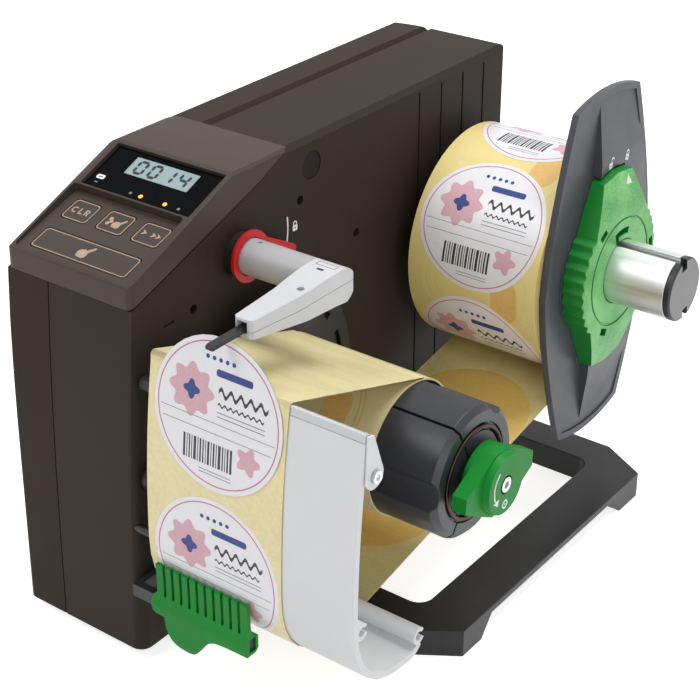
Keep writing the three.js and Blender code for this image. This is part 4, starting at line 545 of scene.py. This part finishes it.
def flat_sheet(loops, limit):
    """A flat mesh of one shape, with no edge longer than the limit."""
    flat = bmesh.new()
    points = [flat.verts.new((u, v, 0)) for loop in loops for u, v in loop]
    for corners in tessellate_polygon([[Vector((u, v, 0)) for u, v in loop] for loop in loops]):
        flat.faces.new([points[i] for i in corners])
    while limit:
        long = [edge for edge in flat.edges if edge.calc_length() > limit]
        if not long:
            break
        bmesh.ops.subdivide_edges(flat, edges=long, cuts=1)
        bmesh.ops.triangulate(flat, faces=flat.faces)
    bmesh.ops.recalc_face_normals(flat, faces=flat.faces)
    return flat


def thicken(solid, flat, carry, high, low):
    """Adds a flat mesh to a solid as a thin closed piece, from low under its carrier to high above it."""
    facing = 1 if sum(face.normal.z for face in flat.faces) > 0 else -1
    spots = {vertex: carry(vertex.co.x, vertex.co.y) for vertex in flat.verts}
    top = {v: solid.verts.new(place + out * high * MM) for v, (place, out) in spots.items()}
    base = {v: solid.verts.new(place - out * low * MM) for v, (place, out) in spots.items()}
    for face in flat.faces:
        corners = list(face.verts)[::facing]
        solid.faces.new([top[v] for v in corners])
        solid.faces.new([base[v] for v in reversed(corners)])
    for edge in flat.edges:
        if edge.is_boundary:
            a, b = edge.verts
            solid.faces.new([top[a], top[b], base[b], base[a]])


def lay(name, prints, look, body, high=0.06, low=0.03, limit=None):
    """Thin closed solids of flat shapes, laid on their carriers, as one piece.

    A shape is a list of loops: its outer edge, and then its holes.
    """
    solid = bmesh.new()
    for carry, shapes in prints:
        for loops in shapes:
            flat = flat_sheet(loops, limit)
            thicken(solid, flat, carry, high, low)
            flat.free()
    bmesh.ops.recalc_face_normals(solid, faces=solid.faces)
    mesh = bpy.data.meshes.new(name)
    solid.to_mesh(mesh)
    solid.free()
    mesh.materials.append(MATERIALS[look])
    piece = bpy.data.objects.new(name, mesh)
    bpy.context.scene.collection.objects.link(piece)
    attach(piece, body)


# Control panel: its slope starts at the bezel's foot, and the keypad lies flatter in it

PANEL_FOOT_Y, PANEL_FOOT_Z = -0.8, 221.0
PANEL_TILT, KEYPAD_TILT = 23.03, 19.03
KEYPAD_FOOT = 2.4
PANEL_MIDDLE = -43.0
KEY_PITCH, KEY_SIDE = 24.2, 1.5
KEY_WIDTH, KEY_LENGTH = 17.8, 15.0
KEY_ROW, START_ROW = 34.5, 10.7
START_WIDTH = 65.5
LINE_INSET, LINE_WIDTH = 0.5, 0.5
LINE_OUTER_CORNER, LINE_INNER_CORNER = 2.0, 1.6
SCREEN_RUN, SCREEN_MIDDLE = 74.05, -40.0
DIGIT_WIDTH, DIGIT_HEIGHT = 7.0, 10.2
DIGIT_STROKE, DIGIT_GAP = 1.75, 0.18
DIGIT_START, DIGIT_PITCH = -14.5, 9.7

# On the window, places are across from the wall and up the slope from its foot
ICON_PLACE, ICON_NOTE_PLACE = (-71.4, 60.4), (-71.4, 56.4)
DARK_LAMP_PLACES = ((-46.9, 56.2), (-13.9, 55.8))
DARK_LAMP_RADIUS = 0.9

DIGIT_SEGMENTS = {"0": "abcdef", "1": "bc", "4": "bcfg"}
HAND = [[[(-3.2, -1.6), (-2.6, -2.6), (0.6, -2.9), (1.7, -2.1), (2.0, -0.7), (1.6, 0.5), (3.7, 3.5),
          (3.6, 4.2), (2.9, 4.3), (0.4, 1.6), (-0.7, 2.1), (-1.5, 1.6), (-2.3, 1.6), (-2.8, 0.9),
          (-3.4, 0.3)]]]
ARROW = [[[(-1.6, 1.9), (1.6, 0), (-1.6, -1.9), (-0.7, 0)]]]
CLEAR_LETTERS = [
    arc_band(1.3, 2.1, 50, 310, (-4.2, 0)),
    [[(-1.2, 2.1), (-0.4, 2.1), (-0.4, -1.3), (1.5, -1.3), (1.5, -2.1), (-1.2, -2.1)]],
    [[(2.7, 2.1), (4.6, 2.1), (5.5, 1.4), (5.5, 0.5), (4.7, -0.2), (5.7, -2.1),
      (4.7, -2.1), (3.9, -0.4), (3.5, -0.4), (3.5, -2.1), (2.7, -2.1)],
     [(3.5, 1.4), (4.4, 1.4), (4.7, 1.1), (4.7, 0.6), (4.4, 0.3), (3.5, 0.3)]],
]
DOTS = [[disc(1.2, place)] for place in ((-4.4, 1.9), (-3.1, 0.1), (-4.4, -1.7))]
ROW_ICONS = {
    "clear": CLEAR_LETTERS,
    "mode": moved(HAND, 1.9, -0.7) + DOTS,
    "advance": moved(ARROW, -4.6, 0.2) + moved(ARROW, 1.6, 0.2) + moved(ARROW, 4.8, 0.2),
}
START_ICON = moved(HAND, 0, -0.8, 1.25)


def sloped(name, tilt, run, middle, along=0.0):
    """A carrier on the panel's slope, from a point that lies run and along up it."""
    up = Vector((0, math.cos(math.radians(tilt)), math.sin(math.radians(tilt))))
    foot = Vector((0, math.cos(math.radians(PANEL_TILT)), math.sin(math.radians(PANEL_TILT))))
    start = at(middle, PANEL_FOOT_Y, PANEL_FOOT_Z) + (foot * run + up * along) * MM
    return onto(name, start, (1, 0, 0), up)


def key_outline(width):
    wide, long = width - 2 * LINE_INSET, KEY_LENGTH - 2 * LINE_INSET
    inside = rounded(wide - 2 * LINE_WIDTH, long - 2 * LINE_WIDTH, LINE_INNER_CORNER)
    return [[rounded(wide, long, LINE_OUTER_CORNER), inside]]


def print_key(key, width, middle, along, icon):
    carrier = sloped(f"key_{key}", KEYPAD_TILT, KEYPAD_FOOT, middle, along)
    lay(f"{key}_key_print", [(carrier, key_outline(width) + icon)], "tan_ink", f"{key}_key")


def print_keypad():
    middle = PANEL_MIDDLE + KEY_SIDE
    for place, (key, icon) in enumerate(ROW_ICONS.items()):
        print_key(key, KEY_WIDTH, middle + (place - 1) * KEY_PITCH, KEY_ROW, icon)
    print_key("start", START_WIDTH, middle, START_ROW, START_ICON)


def segment_digit(lit):
    """Seven-segment numeral about the origin."""
    w, h = DIGIT_WIDTH / 2 - DIGIT_STROKE / 2, DIGIT_HEIGHT / 2 - DIGIT_STROKE / 2
    runs = {
        "a": ((-w, h), (w, h)), "b": ((w, h), (w, 0)), "c": ((w, 0), (w, -h)), "d": ((-w, -h), (w, -h)),
        "e": ((-w, 0), (-w, -h)), "f": ((-w, h), (-w, 0)), "g": ((-w, 0), (w, 0)),
    }
    shapes = []
    for key in lit:
        a, b = Vector(runs[key][0]), Vector(runs[key][1])
        run = (b - a).normalized()
        side = Vector((-run.y, run.x)) * (DIGIT_STROKE / 2)
        a, b = a + run * DIGIT_GAP, b - run * DIGIT_GAP
        near, far = a + run * DIGIT_STROKE / 2, b - run * DIGIT_STROKE / 2
        shapes.append([[tuple(p) for p in (a, near - side, far - side, b, far + side, near + side)]])
    return shapes


def print_display():
    numerals = []
    for place, numeral in enumerate("0014"):
        numerals += moved(segment_digit(DIGIT_SEGMENTS[numeral]), DIGIT_START + DIGIT_PITCH * place)
    screen = sloped("lcd_screen", PANEL_TILT, SCREEN_RUN, SCREEN_MIDDLE)
    lay("screen_digits", [(screen, numerals)], "digit_ink", "housing")
    window = sloped("display_window", PANEL_TILT, 0, 0)
    icon = [rounded(5.4, 3.0, 1.0, ICON_PLACE), rounded(2.6, 0.7, 0.3, ICON_PLACE)]
    lay("window_icon", [(window, [icon])], "white_ink", "housing")
    marks = [[disc(DARK_LAMP_RADIUS, place, steps=24)] for place in DARK_LAMP_PLACES]
    marks.append([rounded(2.2, 0.8, 0.3, ICON_NOTE_PLACE)])
    lay("window_marks", [(window, marks)], "grey_ink", "housing")


# Plug in the wall's dimple

PLUG_PLACE = (142.2, 238.7)
PLUG_RADIUS, PLUG_HEIGHT = 7.6, 0.7


def fill_dimple(wall_face):
    lay("wall_plug", [(wall_face, [[disc(PLUG_RADIUS, PLUG_PLACE)]])],
        "plug", "housing", PLUG_HEIGHT)


# Padlocks and arrows that say which way the locks turn

SWEEP_RADIUS, SWEEP_WIDTH = 39.9, 1.0
SWEEP_START, SWEEP_END = -14, 8
WALL_LOCK_PLACE, WALL_LOCK_SCALE = (127.4, 208.4), 0.95
BLADE_LOCK_SCALE = 1.05

# Places on the blade and the hub: degrees round the supply's axis, radius, and distance from the wall
CLOSED_LOCK_SPOT = (71.5, 66, 105)
OPEN_LOCK_SPOT = (91.5, 64.5, 106)
POINTER_SPOT = (79.7, 51.6, 113)
OPEN_SHIFT = 2.4
POINTER = [(-3.4, 0), (3.4, 0), (0, 5)]

KNOB_FACE_X = 155.8
KNOB_ARC = arc_band(10.6, 11.6, 124, 212)
KNOB_ARROWHEAD = [[(-7.6, -9.2), (-11.7, -5.9), (-6.6, -5.2)]]
KNOB_DOT_PLACE = (-0.8, -10.9)


def padlock(shift=0):
    """A closed padlock, or an open one where its shackle is shifted aside."""
    body = [rounded(4.2, 3.6, 0.7, (0, -1.3)), disc(0.6, (0, -1.3), steps=16)]
    shackle = [arc_band(1.0, 1.75, 0, 180, (0, 1.2)), bar((-1.37, 0.3), (-1.37, 1.3), 0.75)]
    if not shift:
        shackle.append(bar((1.37, 0.6), (1.37, 1.3), 0.75))
    return [body] + moved(shackle, shift)


def around_supply(name, degrees, radius, x):
    """A carrier that looks out from the wall, upright along the radius at an angle."""
    up = (0, math.cos(math.radians(degrees)), math.sin(math.radians(degrees)))
    right = (0, up[2], -up[1])
    return onto(name, at(x, SUPPLY_Y + radius * up[1], SUPPLY_Z + radius * up[2]), right, up)


def mark_wall(wall_face):
    sweep = arc_band(SWEEP_RADIUS, SWEEP_RADIUS + SWEEP_WIDTH, SWEEP_START, SWEEP_END, (SENSOR_Y, SENSOR_Z))
    marks = [sweep] + moved(padlock(), *WALL_LOCK_PLACE, WALL_LOCK_SCALE)
    lay("wall_lock_marks", [(wall_face, marks)], "white_ink", "housing")


def mark_blade():
    closed = around_supply("blade_flange", *CLOSED_LOCK_SPOT)
    opened = around_supply("blade_flange", *OPEN_LOCK_SPOT)
    prints = [(closed, moved(padlock(), scale=BLADE_LOCK_SCALE)),
              (opened, moved(padlock(OPEN_SHIFT), scale=BLADE_LOCK_SCALE))]
    lay("blade_lock_marks", prints, "white_ink", "blade")


def mark_hub():
    spot = around_supply("hub_lock", *POINTER_SPOT)
    lay("hub_pointer", [(spot, [[POINTER]])], "white_ink", "hub")


def mark_knob():
    face = onto("rewind_knob", at(KNOB_FACE_X, REWIND_Y, REWIND_Z), (0, 1, 0), (0, 0, 1))
    dot = [ring(1.6, 2.5, KNOB_DOT_PLACE, 32), [disc(0.6, KNOB_DOT_PLACE, steps=16)]]
    lay("knob_marks", [(face, [KNOB_ARC, KNOB_ARROWHEAD] + dot)], "white_ink", "knob")


# Latch window and release slot in the arm's knuckle, as painted shade: dark ink for the groove round the
# window and for the slot

LATCH_PLACE = (58, 79.6, 220)
LATCH_HEIGHT = 0.02


def mark_arm():
    # Painted shade: a thin dark sheet stands for the shade in the groove and in the slot
    knuckle = onto("sensor_arm_upper", at(*LATCH_PLACE), (1, 0, 0), (0, 1, 0))
    lines = [[rounded(12, 3.6, 0.5), rounded(11.3, 2.9, 0.3)], [rounded(4.2, 1.8, 0.6, (-0.2, -5.4))]]
    lay("arm_latch_painted_shade", [(knuckle, lines)], "dark_ink", "arm", LATCH_HEIGHT)


# Printed labels in a generic design, with no words

LABEL_RADIUS = 39.5
STRIPES = (1.3, 0.5, 0.8, 0.5, 1.6, 0.5, 1.0, 0.8, 0.5, 1.3, 0.5, 1.0, 0.5, 1.6, 0.8, 0.5, 1.0, 1.3)
STRIPE_GAP = 0.85
INK_LIFT, UPPER_INK_LIFT = 0.05, 0.09

WEB_MIDDLE, ROLL_MIDDLE, UNDER_MIDDLE = 56.9, 56.0, 57.6
PEELED_Y, PEELED_Z = -3.6, 172.7
PEELED_LEAN, PEELED_RISE = 9.91, 78.0
PEELED_BLANK_TOP = 0.02
WEB_FRONT_Y, WEB_FRONT_Z = -10, 88
WEB_REACH = 9
WEB_LABEL_TOP, WEB_STEP = 0.16, 2.4
ROLL_RADIUS = 65.3
ROLL_LABEL_TOP, ROLL_STEP = 0.12, 5.0
ROLL_LABEL_DEGREES = (149.5, 74.9, 224.1, 299, 0.3)


def stripe_block(left, foot, height):
    shapes = []
    for width in STRIPES:
        right, head = left + width, foot + height
        shapes.append([[(left, foot), (right, foot), (right, head), (left, head)]])
        left += width + STRIPE_GAP
    return shapes


# Shapes of each ink about the label's middle
BADGE_PLACE = (-16.5, 9)
LABEL_PRINT = {
    "rose_ink": [ring(36.6, 37.2)],
    "pink_ink": [[disc(12.4, BADGE_PLACE, lobes=8, depth=1.7, steps=96)],
                 [disc(6.2, (20, -17), lobes=5, depth=1.4)]],
    "navy_ink": [[disc(4.2, BADGE_PLACE, lobes=4, depth=1.0)], [rounded(22, 3.6, 1.2, (9, 22))]]
    + [[disc(1.1, (u, 28.5), steps=20)] for u in (-8, -4, 0, 4, 8)],
    "dark_ink": [wave_band(0, 30, 12.5, 1.9, 6.0, 2.2), wave_band(0, 28, 6.0, 0.8, 3.5, 1.0)]
    + stripe_block(-20, -27, 12.5),
    "grey_ink": [bar((-35, -4), (35, -4), 0.3), bar((-33.5, -9.5), (33.5, -9.5), 0.3)]
    + [bar((0, v), (29, v), 0.4) for v in (2.2, 0.0)]
    + [bar((-10, v), (10, v), 0.35) for v in (-30.0, -31.7)],
}


def print_labels(name, carriers, body, high, step=None):
    """Lays one ink at a time over labels whose face lies high above their carriers."""
    for ink_name, shapes in LABEL_PRINT.items():
        lift = high + (UPPER_INK_LIFT if ink_name == "navy_ink" else INK_LIFT)
        prints = [(carrier, shapes) for carrier in carriers]
        lay(f"{name}_{ink_name}", prints, ink_name, body, lift, -high / 2, step)


def add_labels(name, carriers, body, high, step):
    """Blank labels that aren't in the CAD, with their inks."""
    blanks = [(carrier, [[disc(LABEL_RADIUS, steps=120)]]) for carrier in carriers]
    lay(f"{name}_blanks", blanks, "label", body, high, 0.0, step)
    print_labels(name, carriers, body, high, step)


def on_roll(degrees):
    return around(SUPPLY_Y, SUPPLY_Z, ROLL_RADIUS, ROLL_MIDDLE, degrees)


def add_all_labels():
    up = (0, PEELED_LEAN, PEELED_RISE)
    peeled = onto("peeled_label", at(WEB_MIDDLE, PEELED_Y, PEELED_Z), (1, 0, 0), up)
    print_labels("peeled", [peeled], "housing", PEELED_BLANK_TOP)
    front = onto("liner_web", at(WEB_MIDDLE, WEB_FRONT_Y, WEB_FRONT_Z), (1, 0, 0), (0, 0, 1), WEB_REACH)
    add_labels("web", [front], "housing", WEB_LABEL_TOP, WEB_STEP)
    places = [on_roll(degrees) for degrees in ROLL_LABEL_DEGREES]
    add_labels("roll", places, "supply", ROLL_LABEL_TOP, ROLL_STEP)


# Labels that show faintly through the paper

WOUND_GHOST_DEGREES = 140
WOUND_GHOST_TOP, WOUND_STEP = 0.12, 3.0
UNDER_Y, UNDER_Z = 41.2, 42.77
UNDER_RUN, UNDER_RISE = 252.8, 48.82
UNDER_GHOST_PLACES = (88, 172)
ROLL_GHOST_DEGREES = (112.2, 187)
PALE_GHOST_TOP, GHOST_TOP, GHOST_FOOT = 0.05, 0.08, 0.02
PALE_RINGS = [ring(33.5, 36, (2, 4)), ring(25.0, 25.6, (-1, 6)), ring(28.0, 28.5, (1, 2))]


def oval(radius, centre):
    return [disc(radius, centre, lobes=2, depth=-3.0)]


def add_ghosts():
    wound_low, wound_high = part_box("wound_liner")
    wound_radius = (wound_high.z - wound_low.z) / 2 / MM
    side = around(REWIND_Y, REWIND_Z, wound_radius, ROLL_MIDDLE, WOUND_GHOST_DEGREES)
    rings = [ring(27, 27.6), ring(29.5, 30), oval(11, (14, 0))]
    lay("wound_ghosts", [(side, rings)],
        "orange_ghost", "rewinder", WOUND_GHOST_TOP, GHOST_FOOT, WOUND_STEP)
    places = [on_roll(degrees) for degrees in ROLL_GHOST_DEGREES]
    lay("roll_pale_ghosts", [(place, PALE_RINGS) for place in places],
        "pale_ghost", "supply", PALE_GHOST_TOP, GHOST_FOOT, ROLL_STEP)
    lay("roll_orange_ghosts", [(place, [oval(11.5, (22, 2))]) for place in places],
        "orange_ghost", "supply", GHOST_TOP, GHOST_FOOT, ROLL_STEP)
    under = onto("liner_web", at(UNDER_MIDDLE, UNDER_Y, UNDER_Z), (1, 0, 0), (0, UNDER_RUN, UNDER_RISE))
    discs = [[disc(LABEL_RADIUS, (0, along), steps=72)] for along in UNDER_GHOST_PLACES]
    lay("web_ghosts", [(under, discs)], "ghost", "housing", GHOST_TOP, GHOST_FOOT)


print_keypad()
print_display()
wall_face = onto("main_housing", at(0, 0, 0), (0, 1, 0), (0, 0, 1))
fill_dimple(wall_face)
mark_wall(wall_face)
mark_blade()
mark_hub()
mark_knob()
mark_arm()
add_all_labels()
add_ghosts()


# Camera, at the photograph's viewing angle: its place is in the machine's millimetres

IMAGE_WIDTH = 700
FOCAL_PIXELS = 1713.78
CENTRE_X, CENTRE_Y = 330.7, 250.0
CAMERA_AZIMUTH, CAMERA_ELEVATION, CAMERA_ROLL = 37.171, 25.117, -0.047
CAMERA_PLACE = (520.83, -527.87, 586.2)
SENSOR_WIDTH = 36
CLIP_START, CLIP_END = 0.05, 30


def make_camera():
    data = bpy.data.cameras.new("camera")
    camera = bpy.data.objects.new("camera", data)
    bpy.context.scene.collection.objects.link(camera)
    data.sensor_width = SENSOR_WIDTH
    data.lens = FOCAL_PIXELS / IMAGE_WIDTH * SENSOR_WIDTH
    data.shift_x = 0.5 - CENTRE_X / IMAGE_WIDTH
    data.shift_y = CENTRE_Y / IMAGE_WIDTH - 0.5
    data.clip_start, data.clip_end = CLIP_START, CLIP_END
    camera.location = at(*CAMERA_PLACE)
    turn = Matrix.Rotation(math.radians(CAMERA_AZIMUTH), 3, "Z")
    tilt = Matrix.Rotation(math.radians(90 - CAMERA_ELEVATION), 3, "X")
    roll = Matrix.Rotation(math.radians(CAMERA_ROLL), 3, "Z")
    camera.rotation_euler = (turn @ tilt @ roll).to_euler()
    bpy.context.scene.camera = camera


# Pale floor and background, with soft studio light

WHITE = (1, 1, 1, 1)
WORLD_LEVEL = 0.42
FLOOR_COLOR, FLOOR_GLOW = (0.8, 0.8, 0.8, 1), 0.75
FLOOR_HALF, FLOOR_DROP = 4.0, 0.05

# Place and target in metres, size in metres and power in watts
LIGHTS = {
    "key": ((-0.7, -1.3, 1.9), (0, 0, 0.15), 1.1, 14),
    "fill": ((1.6, -0.9, 0.9), (0, 0, 0.12), 1.2, 7),
    "top": ((0.3, 0.5, 2.0), (0, 0, 0.1), 1.2, 24),
}


def larger(tree, first, second):
    node = tree.nodes.new("ShaderNodeMath")
    node.operation = "MAXIMUM"
    tree.links.new(first, node.inputs[0])
    tree.links.new(second, node.inputs[1])
    return node.outputs["Value"]


def seen_by_camera(tree):
    """One where a ray comes from the camera, a mirror or a clear piece."""
    path = tree.nodes.new("ShaderNodeLightPath")
    direct = larger(tree, path.outputs["Is Camera Ray"], path.outputs["Is Glossy Ray"])
    return larger(tree, direct, path.outputs["Is Transmission Ray"])


def make_world():
    world = bpy.data.worlds.new("studio")
    bpy.context.scene.world = world
    world.use_nodes = True
    tree = world.node_tree
    background = tree.nodes["Background"]
    background.inputs["Color"].default_value = WHITE
    level = tree.nodes.new("ShaderNodeMapRange")
    level.inputs["To Min"].default_value = WORLD_LEVEL
    level.inputs["To Max"].default_value = 1.0
    tree.links.new(seen_by_camera(tree), level.inputs["Value"])
    tree.links.new(level.outputs["Result"], background.inputs["Strength"])


def floor_material():
    material = bpy.data.materials.new("floor")
    material.use_nodes = True
    tree = material.node_tree
    tree.nodes.remove(tree.nodes["Principled BSDF"])
    matt = tree.nodes.new("ShaderNodeBsdfDiffuse")
    matt.inputs["Color"].default_value = FLOOR_COLOR
    glow = tree.nodes.new("ShaderNodeEmission")
    glow.inputs["Color"].default_value = WHITE
    level = tree.nodes.new("ShaderNodeMath")
    level.operation = "MULTIPLY"
    level.inputs[1].default_value = FLOOR_GLOW
    tree.links.new(seen_by_camera(tree), level.inputs[0])
    tree.links.new(level.outputs["Value"], glow.inputs["Strength"])
    both = tree.nodes.new("ShaderNodeAddShader")
    tree.links.new(matt.outputs["BSDF"], both.inputs[0])
    tree.links.new(glow.outputs["Emission"], both.inputs[1])
    tree.links.new(both.outputs["Shader"], tree.nodes["Material Output"].inputs["Surface"])
    return material


def make_floor():
    mesh = bpy.data.meshes.new("floor")
    corners = [(x * FLOOR_HALF, y * FLOOR_HALF, 0) for x, y in ((-1, -1), (1, -1), (1, 1), (-1, 1))]
    mesh.from_pydata(corners, [], [(0, 1, 2, 3)])
    mesh.materials.append(floor_material())
    floor = bpy.data.objects.new("floor", mesh)
    bpy.context.scene.collection.objects.link(floor)
    floor.location.z = -FLOOR_DROP * MM


def soft_light(name, place, target, size, watts):
    data = bpy.data.lights.new(name, "AREA")
    data.shape = "DISK"
    data.size = size
    data.energy = watts
    light = bpy.data.objects.new(name, data)
    bpy.context.scene.collection.objects.link(light)
    light.location = place
    light.rotation_euler = (Vector(target) - Vector(place)).to_track_quat("-Z", "Y").to_euler()


make_camera()
make_world()
make_floor()
for light_name, settings in LIGHTS.items():
    soft_light(light_name, *settings)

bpy.context.scene.view_settings.view_transform = "Standard"
